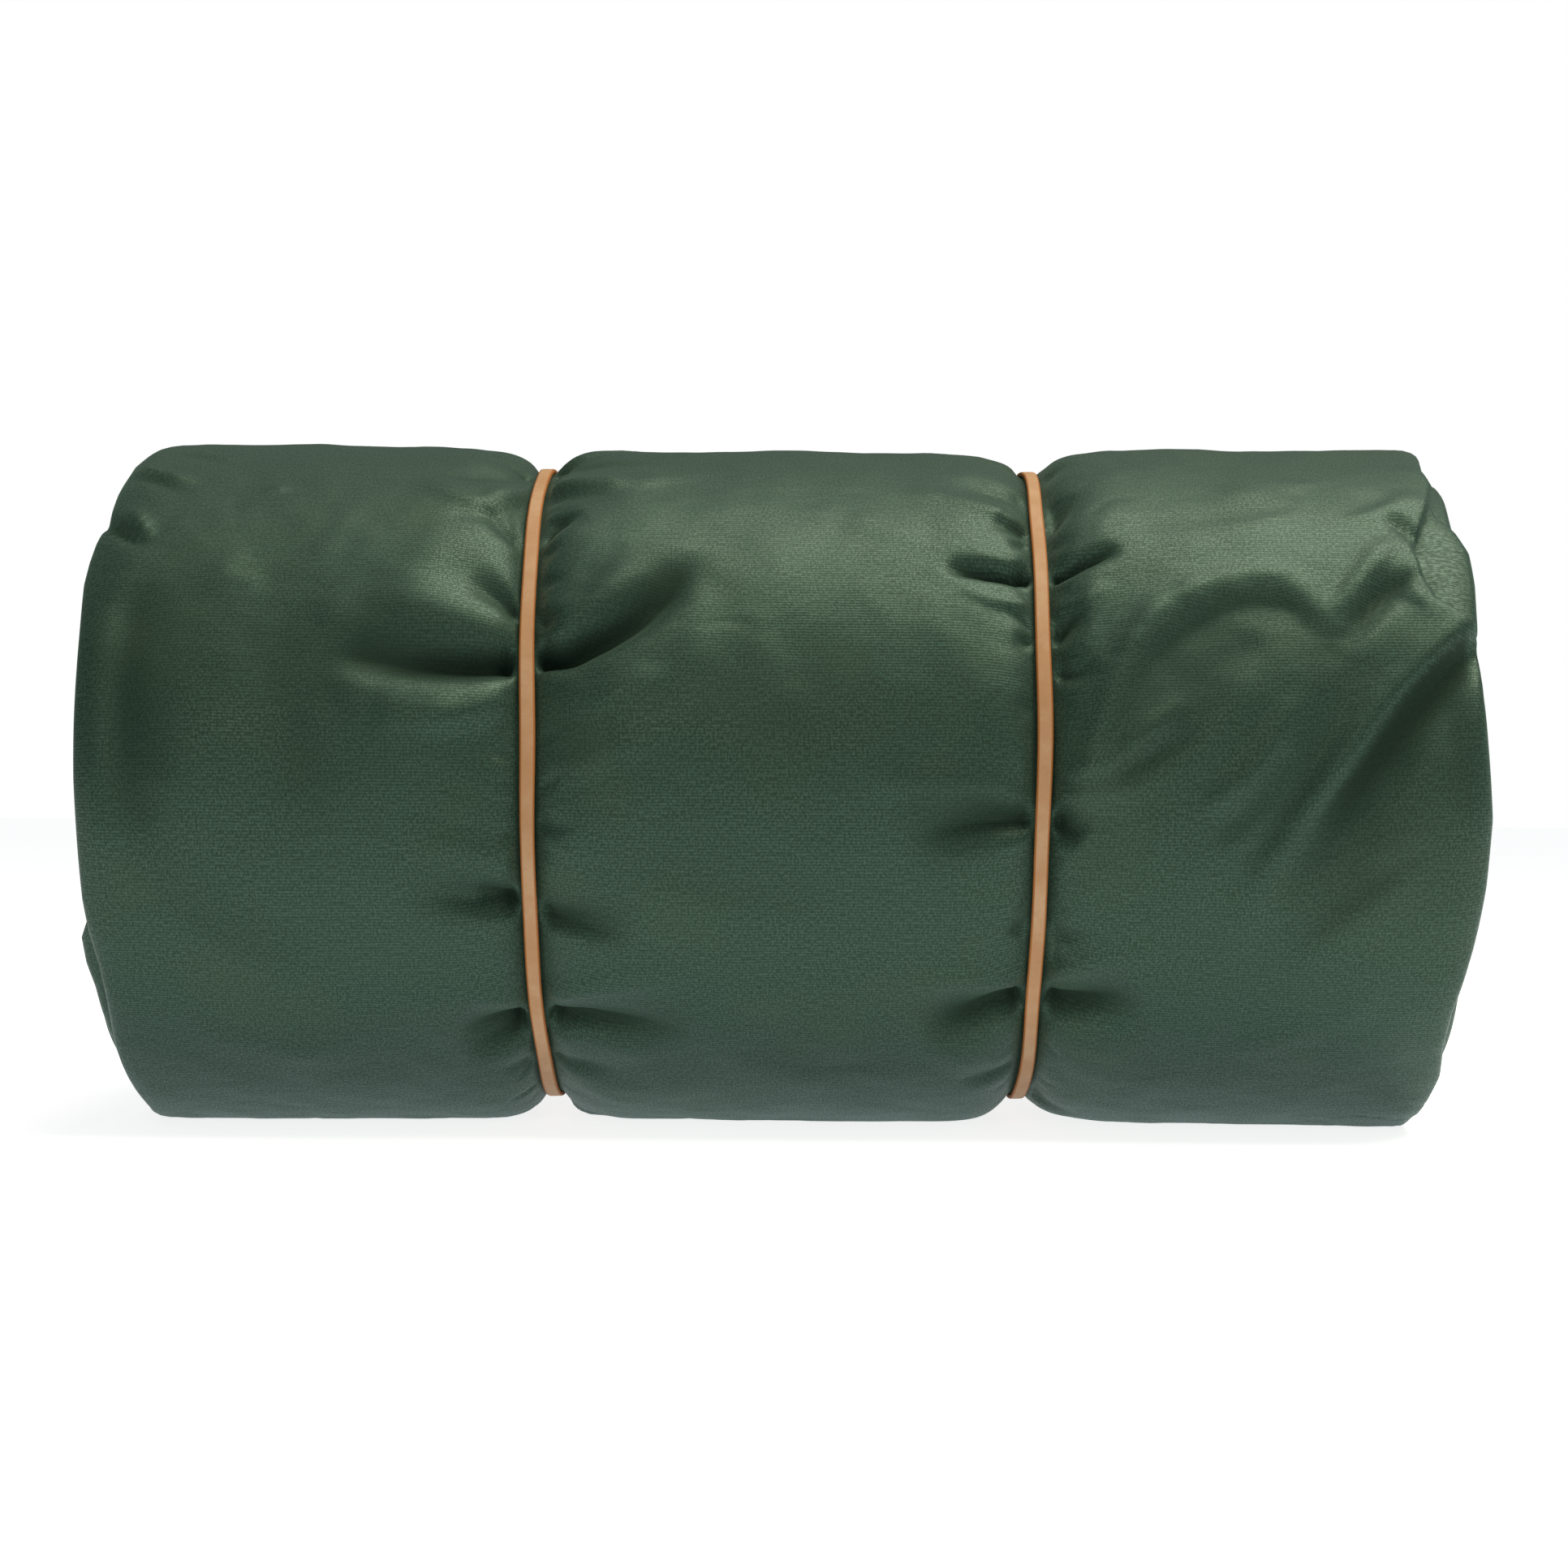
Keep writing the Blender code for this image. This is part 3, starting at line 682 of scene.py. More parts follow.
    def placed(self, x: Points, radius: Points, climb: Points) -> Points:
        """Points of the roll from their place along it, radius and climb.

        Args:
            x: Along the roll.
            radius: From the axis.
            climb: Degrees up the front.

        Returns:
            The points, the last axis X, Y, Z, none under the floor.
        """
        turned = np.radians(climb)
        y = -radius * np.cos(turned) * self.depth_share
        z = self.axis_height + radius * np.sin(turned)
        return np.stack([x, y, np.maximum(z, 0.0)], axis=-1)


# Folds of the skin


class Form(Enum):
    """How the cloth runs beside a fold's line."""

    VALLEY = "valley"
    RIDGE = "ridge"
    LAP = "lap"  # the left side of the line stands over its right side


class Fade(Enum):
    """Where along its line a fold dies out."""

    AWAY = "away from the start"
    BOTH = "at both ends"
    START = "towards the start"


@dataclass(frozen=True)
class Fold:
    """A line on the skin where the cloth sinks, rises or laps, in millimetres and degrees."""

    line: tuple
    depth: float
    width: float
    form: Form = Form.VALLEY
    fade: Fade = Fade.AWAY
    end_width: Optional[float] = None
    steepness: float = 1.15
    shade_up: float = 1.7
    shade_down: float = 0.8
    full_shade: float = 4.2
    belly_climb: float = -25.0
    belly_shade: float = 1.1

    def seated(self, skin: "Skin") -> "Fold":
        """The fold, moved round the roll so that its floor shows where its line is seen.

        Args:
            skin: The skin that it lies in.

        Returns:
            The moved fold.
        """
        full = skin.winding.skin_radius
        pinch = full - skin.winding.pinched_radius
        way = {Form.RIDGE: 0.7, Form.VALLEY: -0.7, Form.LAP: 0.0}[self.form]
        placed = []
        for number, (x, climb) in enumerate(self.line):
            strength = float(self._strength(np.array(number / (len(self.line) - 1))))
            near = min(abs(x - ring.middle) for ring in skin.rings)
            held = float(skin.groove(np.array(near * MM)))
            radius = full - pinch * held + way * strength * MM
            sine = math.sin(math.radians(climb)) * full / radius
            placed.append((x, math.degrees(math.asin(max(-0.97, min(0.97, sine))))))
        return replace(self, line=tuple(placed))

    def _uphill(self) -> float:
        """Which side of the line is the upper one: 1 on the left of its way, -1 on the right."""
        return 1.0 if self.line[-1][0] > self.line[0][0] else -1.0

    def relief(self, x: Points, climb: Points, radius: float) -> tuple[Points, Points]:
        """How far this fold moves the skin, and how much painted shade it gives each place.

        Args:
            x: Places along the roll, in metres.
            climb: Degrees up the front.
            radius: The skin's radius, for lengths round the roll.

        Returns:
            The move outwards at each place, in metres, and its share of painted shade, 0 to 1.
        """
        first = self.line[0]
        arc = radius / MM * np.radians((climb - first[1] + 180.0) % 360.0 - 180.0)
        along = x / MM - first[0]
        to_arc = radius / MM * math.pi / 180.0
        knots = [(px - first[0], (py - first[1]) * to_arc) for px, py in self._curve()]
        total = sum(math.dist(a, b) for a, b in zip(knots, knots[1:]))
        nearest = np.full(x.shape, 1e9)
        share = np.zeros(x.shape)
        side = np.zeros(x.shape)
        gone = 0.0
        for a, b in zip(knots, knots[1:]):
            leg = max(math.dist(a, b), 1e-6)
            ux, uy = (b[0] - a[0]) / leg, (b[1] - a[1]) / leg
            run = np.clip((along - a[0]) * ux + (arc - a[1]) * uy, 0.0, leg)
            off_x = along - a[0] - run * ux
            off_y = arc - a[1] - run * uy
            apart = np.hypot(off_x, off_y)
            closer = apart < nearest
            nearest = np.where(closer, apart, nearest)
            share = np.where(closer, (gone + run) / total, share)
            side = np.where(closer, ux * off_y - uy * off_x, side)
            gone += leg
        return MM * self._height(nearest, share, side), self._painted_shade(nearest, share, side)

    def _curve(self) -> list[tuple[float, float]]:
        """The fold's line with its corners rounded."""
        if len(self.line) < 3:
            return list(self.line)
        points = [Vector(p) for p in self.line]
        points = [2 * points[0] - points[1], *points, 2 * points[-1] - points[-2]]
        curve = []
        for before, start, end, after in zip(points, points[1:], points[2:], points[3:]):
            for step in range(4):
                t = step / 4
                bend = (2 * start) + (end - before) * t
                bend += (2 * before - 5 * start + 4 * end - after) * t**2
                bend += (3 * start - before - 3 * end + after) * t**3
                curve.append(tuple(bend / 2))
        return curve + [tuple(points[-2])]

    def _strength(self, share: Points) -> Points:
        """The fold's depth at a share of its line."""
        if self.fade is Fade.AWAY:
            return self.depth * (1 - share**2.2)
        if self.fade is Fade.START:
            return self.depth * eased(share * 2.5)
        return self.depth * np.sin(np.pi * np.clip(share, 0.02, 0.98)) ** 0.6

    def _width(self, share: Points) -> Points:
        """The fold's width at a share of its line."""
        return self.width + ((self.end_width or self.width) - self.width) * share

    def _painted_shade(self, apart: Points, share: Points, side: Points) -> Points:
        """Painted shade in the fold, 0 to 1; above the belly it reaches further up the upper wall.
        """
        if self.form is Form.RIDGE:
            return np.zeros(apart.shape)
        upper = self.shade_up if self.line[0][1] > self.belly_climb else self.belly_shade
        if self.form is Form.LAP:
            reach = np.where(side > 0, 0.3, 2.4)
        else:
            reach = np.where(side * self._uphill() > 0, upper, self.shade_down)
        deep = np.clip(self._strength(share) / self.full_shade, 0.0, 1.0)
        return deep * np.exp(-((apart / (self._width(share) * reach)) ** 2))

    def _height(self, apart: Points, share: Points, side: Points) -> Points:
        """The fold's height, from the distance to its line, the share run and the side."""
        width = self._width(share)
        spread = apart / width
        strength = self._strength(share)
        if self.form is Form.RIDGE:
            return strength * np.exp(-(spread**2))
        if self.form is Form.VALLEY:
            above = side * self._uphill() > 0
            spread = spread * np.where(above, 1 / self.steepness, self.steepness)
            return -strength * np.exp(-(spread**1.6))
        step = np.tanh(side / np.maximum(0.6 * width, 1.1))
        return 0.5 * strength * step * np.exp(-apart / np.where(side > 0, 3.0, 1.6) / width)


@dataclass(frozen=True)
class Ring:
    """Where a band lies: its middle along the roll, its lean and its bow, in millimetres."""

    name: str
    middle: float
    lean: float
    bow: float

    def place(self, climb: Points) -> Points:
        """X of the band's middle at a climb, in metres."""
        turned = np.radians(climb)
        return MM * (self.middle + self.lean * np.sin(turned) + self.bow * np.cos(turned))


@dataclass(frozen=True)
class Wrinkles:
    """Seeded soft noise on the roll's skin that joins up round it."""

    seed: int
    length: float
    waves: int = 26
    stretch: float = 1.0

    def value(self, x: Points, climb: Points, radius: float = 77 * MM) -> Points:
        """The noise, about -1 to 1.

        Args:
            x: Along the roll.
            climb: Degrees up the front.
            radius: The skin's radius.

        Returns:
            The noise at each place.
        """
        dice = random.Random(self.seed)
        total = np.zeros(np.broadcast(x, climb).shape)
        round_length = math.tau * radius
        for _ in range(self.waves):
            heading = dice.uniform(0, math.pi)
            pitch = self.length * dice.uniform(0.7, 1.8)
            along = math.cos(heading) / (pitch * self.stretch)
            turns = round(math.sin(heading) * round_length / pitch)
            phase = dice.uniform(0, math.tau)
            total += np.cos(math.tau * along * x + turns * np.radians(climb) + phase)
        return total / math.sqrt(self.waves / 2)

    def creases(self, x: Points, climb: Points, sharpness: float) -> Points:
        """Thin winding lines, 1 on a line and 0 away from it."""
        return np.exp(-((self.value(x, climb) / sharpness) ** 2))


LEFT_BAND = Ring("left", -53.2, -1.4, -0.9)
RIGHT_BAND = Ring("right", 54.4, 0.8, 0.1)


def left_band_folds() -> list[Fold]:
    """The folds that the left band gathers on the front."""
    ridge, both = Form.RIDGE, Fade.BOTH
    return [
        Fold(
            ((-55.5, 55.5), (-61.0, 56.3), (-67.5, 52.6), (-84.0, 60.0)),
            1.3, 2.4, ridge, end_width=3.5,
        ),
        Fold(((-55.5, 60.5), (-63.0, 61.5), (-72.0, 60.5), (-86.0, 66.0)), 1.9, 3.5, end_width=5.2),
        Fold(((-55.8, 52.0), (-64.0, 48.5), (-72.0, 48.0)), 1.1, 2.2, end_width=3.5),
        Fold(((-56.0, 39.6), (-61.5, 44.8), (-64.5, 51.0)), 2.8, 1.9, end_width=2.9),
        Fold(((-56.0, 41.8), (-58.6, 46.5), (-59.5, 52.0)), 1.2, 1.6),
        Fold(((-55.6, 25.8), (-60.5, 30.0), (-68.0, 33.8)), 3.3, 2.0, end_width=3.4),
        Fold(((-58.0, 25.5), (-70.0, 28.5), (-86.0, 30.0), (-101.0, 27.0)), 1.6, 6.0, ridge, both),
        Fold(
            (
                (-55.4, 17.6), (-65.4, 17.6), (-74.3, 17.9),
                (-83.2, 18.4), (-92.2, 19.8), (-98.6, 22.5),
            ),
            8.0, 2.6, end_width=7.0, full_shade=3.4,
        ),
        Fold(((-57.0, 12.8), (-70.0, 11.0), (-87.0, 10.5)), 1.7, 4.0, ridge, both),
        Fold(((-98.0, 27.0), (-98.0, 19.0), (-92.0, 9.0)), 0.8, 4.0, fade=both),
        Fold(((-55.8, 3.0), (-62.0, 5.5)), 1.1, 1.5),
        Fold(((-55.8, -8.0), (-60.0, -9.0)), 1.0, 1.3),
        Fold(
            ((-55.5, -19.0), (-65.0, -18.2), (-82.0, -17.0)),
            3.6, 2.2, end_width=7.4, full_shade=8.0,
        ),
        Fold(
            ((-55.4, -18.6), (-59.5, -17.8), (-65.0, -17.6)),
            3.4, 1.3, end_width=1.8, shade_up=1.0, full_shade=2.4,
        ),
        Fold(((-57.0, -14.5), (-68.0, -11.5), (-80.0, -9.0)), 0.9, 4.0, ridge, both),
        Fold(((-55.0, -37.6), (-62.0, -37.4), (-73.0, -35.6)), 1.2, 2.2, ridge, end_width=3.6),
        Fold(((-55.0, -39.8), (-60.8, -41.4), (-70.0, -43.6)), 4.8, 2.2, end_width=5.2),
        Fold(((-55.0, -41.0), (-61.0, -45.4), (-69.0, -49.0)), 4.3, 2.4, end_width=5.5),
        Fold(((-55.0, -51.5), (-61.0, -54.0)), 1.2, 2.0),
        Fold(
            ((-51.2, 56.5), (-44.0, 60.0), (-29.0, 60.6), (-14.0, 66.5)),
            1.4, 2.6, ridge, end_width=4.0,
        ),
        Fold(((-51.0, 61.5), (-42.0, 65.5), (-29.0, 67.0), (-16.0, 72.0)), 1.9, 3.8, end_width=5.9),
        Fold(((-51.0, 51.0), (-44.0, 54.5), (-35.0, 54.0)), 1.2, 2.5, end_width=3.9),
        Fold(((-52.0, 40.5), (-48.8, 44.6), (-44.5, 49.6)), 3.2, 1.9, end_width=3.1),
        Fold(((-52.0, 38.0), (-48.6, 40.6)), 1.3, 1.5),
        Fold(((-51.8, 32.6), (-48.4, 33.6)), 1.1, 1.2),
        Fold(((-51.8, 25.3), (-48.6, 24.8)), 2.0, 1.4),
        Fold(((-49.0, 26.0), (-38.0, 31.5), (-27.0, 38.0)), 1.5, 5.0, ridge, both),
        Fold(
            (
                (-51.4, 17.9), (-45.6, 18.8), (-40.6, 20.6), (-35.5, 22.8),
                (-31.0, 25.4), (-27.0, 29.0), (-23.6, 34.0), (-21.3, 41.0),
            ),
            8.5, 2.4, end_width=5.4, full_shade=3.0,
        ),
        Fold(((-48.0, 13.6), (-38.0, 14.4), (-26.0, 17.0), (-14.0, 24.0)), 1.6, 4.4, ridge, both),
        Fold(((-50.5, 2.0), (-40.0, 4.0), (-22.0, 9.0)), 0.9, 4.0, ridge, both),
        Fold(((-51.0, -6.0), (-44.0, -7.5)), 1.0, 1.5),
        Fold(((-51.0, -20.0), (-43.0, -22.2), (-31.0, -25.0)), 3.6, 2.1, end_width=4.9),
        Fold(((-50.2, -36.2), (-33.0, -33.4), (-13.0, -31.6)), 1.5, 2.4, ridge, end_width=4.0),
        Fold(
            ((-50.4, -39.4), (-42.0, -40.0), (-30.0, -41.2), (-19.0, -42.8)),
            5.4, 2.4, end_width=5.9,
        ),
        Fold(((-51.0, -50.0), (-44.0, -53.0), (-36.0, -53.0)), 1.7, 2.2, end_width=3.4),
    ]


def right_band_folds() -> list[Fold]:
    """The folds that the right band gathers on the front."""
    ridge, both = Form.RIDGE, Fade.BOTH
    return [
        Fold(
            ((52.4, 46.5), (46.5, 50.6), (37.9, 54.8), (26.0, 57.5)),
            1.5, 2.4, ridge, end_width=4.0,
        ),
        Fold(((52.4, 51.0), (47.0, 55.5), (38.0, 60.0)), 1.7, 2.8, end_width=4.7),
        Fold(((52.6, 42.6), (48.6, 45.4), (45.5, 49.0)), 2.9, 1.6, end_width=2.9),
        Fold(((52.6, 40.5), (48.0, 42.4)), 1.9, 1.5),
        Fold(
            ((53.2, 32.6), (47.5, 33.6), (40.4, 35.6), (33.5, 37.8)),
            6.4, 1.6, end_width=2.0, full_shade=3.2, shade_up=1.0,
        ),
        Fold(((52.0, 29.6), (44.5, 31.0), (37.0, 33.4)), 0.9, 1.6, ridge),
        Fold(((53.0, 22.2), (48.4, 23.6)), 2.3, 1.5),
        Fold(((52.3, 12.0), (47.5, 12.8)), 1.1, 1.3),
        Fold(((52.3, -5.4), (40.0, -5.6), (24.0, -8.0)), 4.2, 2.2, end_width=7.8),
        Fold(((51.0, -1.4), (36.0, 0.0), (20.0, 0.8)), 0.9, 3.4, ridge, both),
        Fold(((52.4, -22.6), (47.0, -23.6)), 2.0, 1.8),
        Fold(((52.2, -32.6), (38.0, -33.0), (21.0, -33.6)), 1.5, 2.6, ridge, end_width=4.0),
        Fold(((52.4, -34.8), (47.0, -36.0), (39.2, -39.2), (29.0, -43.4)), 6.0, 2.5, end_width=6.8),
        Fold(((52.0, -50.0), (45.0, -54.0), (38.0, -56.0)), 1.7, 2.4, end_width=3.6),
        Fold(((55.9, 43.2), (60.0, 48.8), (61.5, 57.0)), 3.3, 1.9, end_width=3.1),
        Fold(((56.0, 44.4), (57.8, 50.5), (57.6, 58.5)), 2.0, 1.6),
        Fold(((56.0, 41.0), (61.5, 42.6)), 1.2, 1.6),
        Fold(
            ((55.9, 32.4), (60.1, 34.6), (64.9, 37.6), (71.5, 41.2)),
            6.4, 1.6, end_width=2.0, full_shade=3.2, shade_up=1.0,
        ),
        Fold(((56.5, 29.4), (62.0, 30.4), (69.0, 34.6)), 1.0, 1.8, ridge),
        Fold(
            ((55.7, 22.0), (58.8, 24.4), (61.2, 27.0), (63.8, 28.4)),
            4.2, 1.9, end_width=3.2, shade_up=1.2,
        ),
        Fold(((55.7, 17.9), (61.5, 17.4), (66.0, 19.6)), 2.6, 1.6, end_width=3.1),
        Fold(((55.5, 12.0), (59.5, 12.4)), 1.1, 1.2),
        Fold(((55.0, -4.9), (58.0, -5.8), (62.5, -8.4)), 4.6, 2.1, end_width=3.4),
        Fold(((56.0, -2.6), (67.0, -0.6), (84.0, 5.5)), 1.1, 3.2, ridge, end_width=4.5),
        Fold(((55.1, -23.2), (60.5, -24.6), (65.0, -24.0)), 2.0, 1.8),
        Fold(((55.3, -31.6), (68.0, -29.4), (88.0, -25.6)), 1.7, 2.6, ridge, end_width=4.0),
        Fold(((55.8, -34.6), (64.3, -36.4), (77.0, -36.8)), 5.8, 2.5, end_width=6.0),
        Fold(((53.6, -57.0), (58.0, -67.0), (65.0, -77.0)), 2.6, 2.4, end_width=3.9),
    ]


def open_folds() -> list[Fold]:
    """The longer, softer folds between the bands and the ends."""
    ridge, both, lap = Form.RIDGE, Fade.BOTH, Form.LAP
    swag = (
        (67.0, 12.0), (71.5, 21.0), (78.0, 28.2), (85.0, 32.4), (92.0, 34.9),
        (99.3, 36.4), (106.0, 35.4), (111.0, 31.0), (115.0, 26.5),
    )
    under_swag = (
        (70.0, 7.0), (74.0, 15.0), (80.0, 21.0), (87.0, 25.5), (94.0, 28.2),
        (101.0, 29.4), (107.0, 28.0), (112.0, 23.6), (118.0, 18.0),
    )
    flap = (
        (108.0, -8.0), (113.3, -3.4), (120.0, 3.2), (125.4, 9.4),
        (130.4, 14.8), (137.8, 20.8), (147.7, 27.4),
    )
    under_flap = (
        (147.0, 22.5), (136.6, 15.4), (129.4, 9.8), (123.6, 4.2), (113.0, -7.0), (102.0, -20.0),
    )
    return [
        Fold(swag, 1.7, 3.6, ridge, both),
        Fold(under_swag, 2.6, 5.0, fade=both, steepness=0.66, shade_up=0.8, shade_down=1.5),
        Fold(((130.4, 43.8), (124.7, 38.0), (119.7, 32.0), (116.0, 27.5)), 1.9, 2.6, ridge, both),
        Fold(
            ((117.0, 21.5), (123.5, 28.0), (130.0, 33.0), (136.0, 35.0)),
            2.8, 2.6, fade=both, shade_up=0.9, full_shade=2.8,
        ),
        Fold(((100.0, 24.0), (90.0, 18.0), (79.0, 8.0)), 1.6, 5.0, fade=both),
        Fold(
            ((110.0, 15.0), (106.6, 12.3), (99.7, 4.4), (95.6, 0.5), (86.1, -4.0)),
            1.9, 2.8, ridge, both,
        ),
        Fold(((84.0, 14.0), (77.3, 9.8), (70.4, 5.4), (60.2, 1.8)), 1.8, 2.6, ridge, both),
        Fold(((86.0, 9.0), (78.0, 4.6), (69.0, 0.6)), 1.7, 2.6, fade=both),
        Fold(((106.0, 6.0), (98.0, -3.0), (88.0, -10.0)), 1.5, 3.0, fade=both),
        Fold(((128.0, 16.0), (117.0, 5.5), (106.0, -6.0), (97.0, -20.0)), 1.7, 3.2, ridge, both),
        Fold(((118.0, 11.0), (110.0, 2.0), (96.0, -14.0)), 1.8, 2.8, fade=both),
        Fold(((70.0, 16.0), (64.0, 6.0), (60.0, -1.0)), 0.9, 2.8, ridge, both),
        Fold(((134.3, -9.0), (120.0, -17.0), (106.0, -27.0)), 1.6, 3.6, fade=both),
        Fold(((128.0, -34.0), (112.0, -42.0), (92.0, -50.0)), 0.9, 4.0, ridge, both),
        Fold(((90.0, 52.0), (106.0, 58.0), (126.0, 60.0)), 0.8, 5.0, ridge, both),
        Fold(((74.0, 46.0), (90.0, 47.0), (110.0, 52.0)), 0.8, 4.0, fade=both),
        Fold(flap, 4.4, 1.6, lap, Fade.START, full_shade=2.2),
        Fold(
            under_flap,
            4.2, 3.6, end_width=6.5, steepness=0.7, shade_up=0.7, shade_down=1.3, full_shade=3.6,
        ),
        Fold(((-138.0, 34.0), (-139.0, 22.0), (-138.5, 6.0), (-134.0, -9.0)), 2.6, 5.5, fade=both),
        Fold(((-128.0, 44.0), (-118.0, 34.0), (-112.0, 18.0)), 0.9, 6.0, ridge, both),
        Fold(((145.5, 12.0), (145.2, 7.0), (146.0, 0.0), (147.0, -9.0)), 0.8, 1.4, ridge, both),
        Fold(((141.0, 14.5), (140.5, 7.0), (142.5, -3.0)), 1.1, 2.2, fade=both),
        Fold(((137.5, 56.0), (130.0, 50.5), (120.0, 47.0)), 1.2, 3.0, ridge, both),
        Fold(((134.6, 43.5), (131.6, 46.5), (129.0, 50.0)), 2.0, 1.5),
        Fold(((134.6, 40.5), (133.0, 34.0), (136.0, 29.0)), 1.0, 2.0, ridge, both),
        Fold(((-144.0, 66.5), (-139.5, 62.3), (-131.0, 58.0)), 1.1, 1.3, ridge, both),
        Fold(((-144.5, 62.0), (-139.5, 57.5), (-131.0, 54.0)), 1.1, 1.5, fade=both),
        Fold(((-135.0, 72.8), (-121.0, 66.0)), 0.9, 1.6, ridge, both),
        Fold(((-148.0, 47.3), (-142.0, 42.5), (-136.5, 40.4)), 3.0, 1.6),
        Fold(((-143.0, 50.5), (-139.0, 46.0), (-137.5, 42.0)), 1.2, 1.4, ridge, both),
        Fold(((-112.8, 55.4), (-109.2, 56.6)), 0.7, 1.2, ridge, both),
        Fold(((-124.0, 32.0), (-110.0, 20.0), (-102.0, 4.0), (-100.0, -10.0)), 1.1, 6.0, fade=both),
        Fold(((-140.0, 22.0), (-130.0, 6.0), (-124.0, -14.0)), 0.8, 6.0, ridge, both),
        Fold(((-134.0, -14.0), (-118.0, -24.0), (-98.0, -30.0)), 0.9, 4.6, fade=both),
        Fold(((-128.0, -44.0), (-110.0, -49.0), (-90.0, -48.0)), 0.8, 4.6, ridge, both),
        Fold(((-20.0, 14.0), (0.0, 9.0), (22.0, 10.0)), 0.8, 6.0, fade=both),
        Fold(((-6.0, 30.0), (-2.0, 14.0), (6.0, -2.0)), 0.6, 5.0, ridge, both),
        Fold(((-34.0, -12.0), (-12.0, -17.0), (14.0, -19.0)), 0.8, 5.0, fade=both),
        Fold(((0.0, 52.0), (14.0, 50.0), (32.0, 42.0)), 0.7, 5.0, ridge, both),
        Fold(((-10.0, -48.0), (8.0, -52.0), (28.0, -50.0)), 0.7, 4.6, fade=both),
    ]


@dataclass
class Skin:
    """The shape of the roll's outside: its swell, the bands' grooves, folds and wrinkles."""

    winding: Winding
    rings: tuple = (LEFT_BAND, RIGHT_BAND)
    seed: int = 11
    groove_floor: float = 2.0 * MM
    band_half: float = 1.6 * MM
    held_from: float = 1.8 * MM
    held_run: float = 2.2 * MM
    rim_spread: float = 0.7 * MM
    rim_shade: float = 0.85
    near_flare: float = 3.0 * MM
    far_flare: float = 11.0 * MM
    far_share: float = 0.38
    hidden_folds: int = 15
    small_pleats: int = 52
    unseen_from: float = 74.0
    unseen_span: float = 208.0
    rounded_past: float = 138 * MM
    rounding_run: float = 10 * MM
    end_rounding: float = 3.0 * MM
    folds: list = field(init=False)
    moved: Optional["Puffed"] = None
    # Painted shade for the cloth's colour, 0 to 1, set by outside().
    hollow: Optional[Points] = None

    def __post_init__(self) -> None:
        """Gather the seen folds and grow the unseen ones."""
        seen = left_band_folds() + right_band_folds() + open_folds()
        self.folds = [fold.seated(self) for fold in seen]
        self.folds += self._unseen_folds() + self._small_pleats()

    def _unseen_folds(self) -> list[Fold]:
        """Seeded folds on the top, back and underside, like those in front."""
        dice = random.Random(self.seed)
        grown = []
        for ring in self.rings:
            for side in (-1, 1):
                for number in range(self.hidden_folds):
                    place = number + dice.uniform(-0.3, 0.3)
                    climb = self.unseen_from + place * self.unseen_span / self.hidden_folds
                    strong = dice.random() < 0.4
                    reach = dice.uniform(15, 32) if strong else dice.uniform(6, 13)
                    slant = dice.uniform(-7, 7) if strong else dice.uniform(-5, 5)
                    start = ring.middle + side * 2.6
                    line = (
                        (start, climb),
                        (start + side * reach * 0.5, climb + slant * 0.6),
                        (start + side * reach, climb + slant),
                    )
                    depth = dice.uniform(3.0, 5.2) if strong else dice.uniform(1.3, 2.4)
                    form = Form.RIDGE if dice.random() < 0.25 else Form.VALLEY
                    if form is Form.RIDGE:
                        depth = 0.3 * depth
                    grown.append(Fold(line, depth, dice.uniform(1.6, 2.3), form, end_width=4.6))
        return grown

    def _small_pleats(self) -> list[Fold]:
        """Seeded short creases where the cloth crowds under a band's edges, all round."""
        dice = random.Random(self.seed + 1)
        grown = []
        for ring in self.rings:
            for side in (-1, 1):
                for number in range(self.small_pleats):
                    climb = (number + dice.uniform(-0.4, 0.4)) * 360.0 / self.small_pleats - 180.0
                    start = ring.middle + side * 2.0
                    reach = dice.uniform(2.2, 6.0)
                    end = (start + side * reach, climb + dice.uniform(-3.5, 3.5))
                    depth = dice.uniform(0.35, 0.9)
                    grown.append(Fold(((start, climb), end), depth, dice.uniform(0.8, 1.2)))
        return grown

    def swell(self, x: Points, climb: Points) -> Points:
        """How far the skin is fuller or slacker than its mean radius, the bands left out."""
        turned = np.radians(climb)
        low = np.clip(-np.sin(turned), 0.0, 1.0) ** 3
        ends = np.clip(np.abs(x) / (150 * MM), 0.0, 1.0) ** 4
        rise = 0.9 * low + 0.5 * ends * (1 - low)
        rise = rise - 0.5 * bump(x, -5 * MM, 55 * MM) * (1 - low)
        rise = rise + 0.7 * bump(x, 118 * MM, 30 * MM)
        return MM * rise

    def groove(self, offset: Points) -> Points:
        """Share of the pinch at a distance from a band's middle."""
        beyond = np.maximum(np.abs(offset) - self.groove_floor, 0.0)
        near = np.exp(-beyond / self.near_flare)
        far = np.exp(-beyond / self.far_flare)
        return (1 - self.far_share) * near + self.far_share * far

    def nearest_ring(self, x: Points, climb: Points) -> Points:
        """Distance to the nearer band's middle."""
        return np.min([np.abs(x - ring.place(climb)) for ring in self.rings], axis=0)

    def wrinkled(self, x: Points, climb: Points) -> Points:
        """Soft undulations and fine creases that cover the whole skin."""
        broad = Wrinkles(5, 46 * MM, stretch=1.5).value(x, climb)
        middle = Wrinkles(8, 21 * MM, stretch=1.2).value(x, climb)
        fine = Wrinkles(13, 9 * MM).value(x, climb)
        lines = Wrinkles(21, 24 * MM).creases(x, climb, 0.10)
        more = Wrinkles(34, 15 * MM).creases(x, climb, 0.12)
        presence = 0.5 + 0.5 * Wrinkles(55, 60 * MM).value(x, climb)
        return MM * (
            0.30 * broad + 0.16 * middle + 0.05 * fine - 0.16 * lines * presence - 0.08 * more
        )

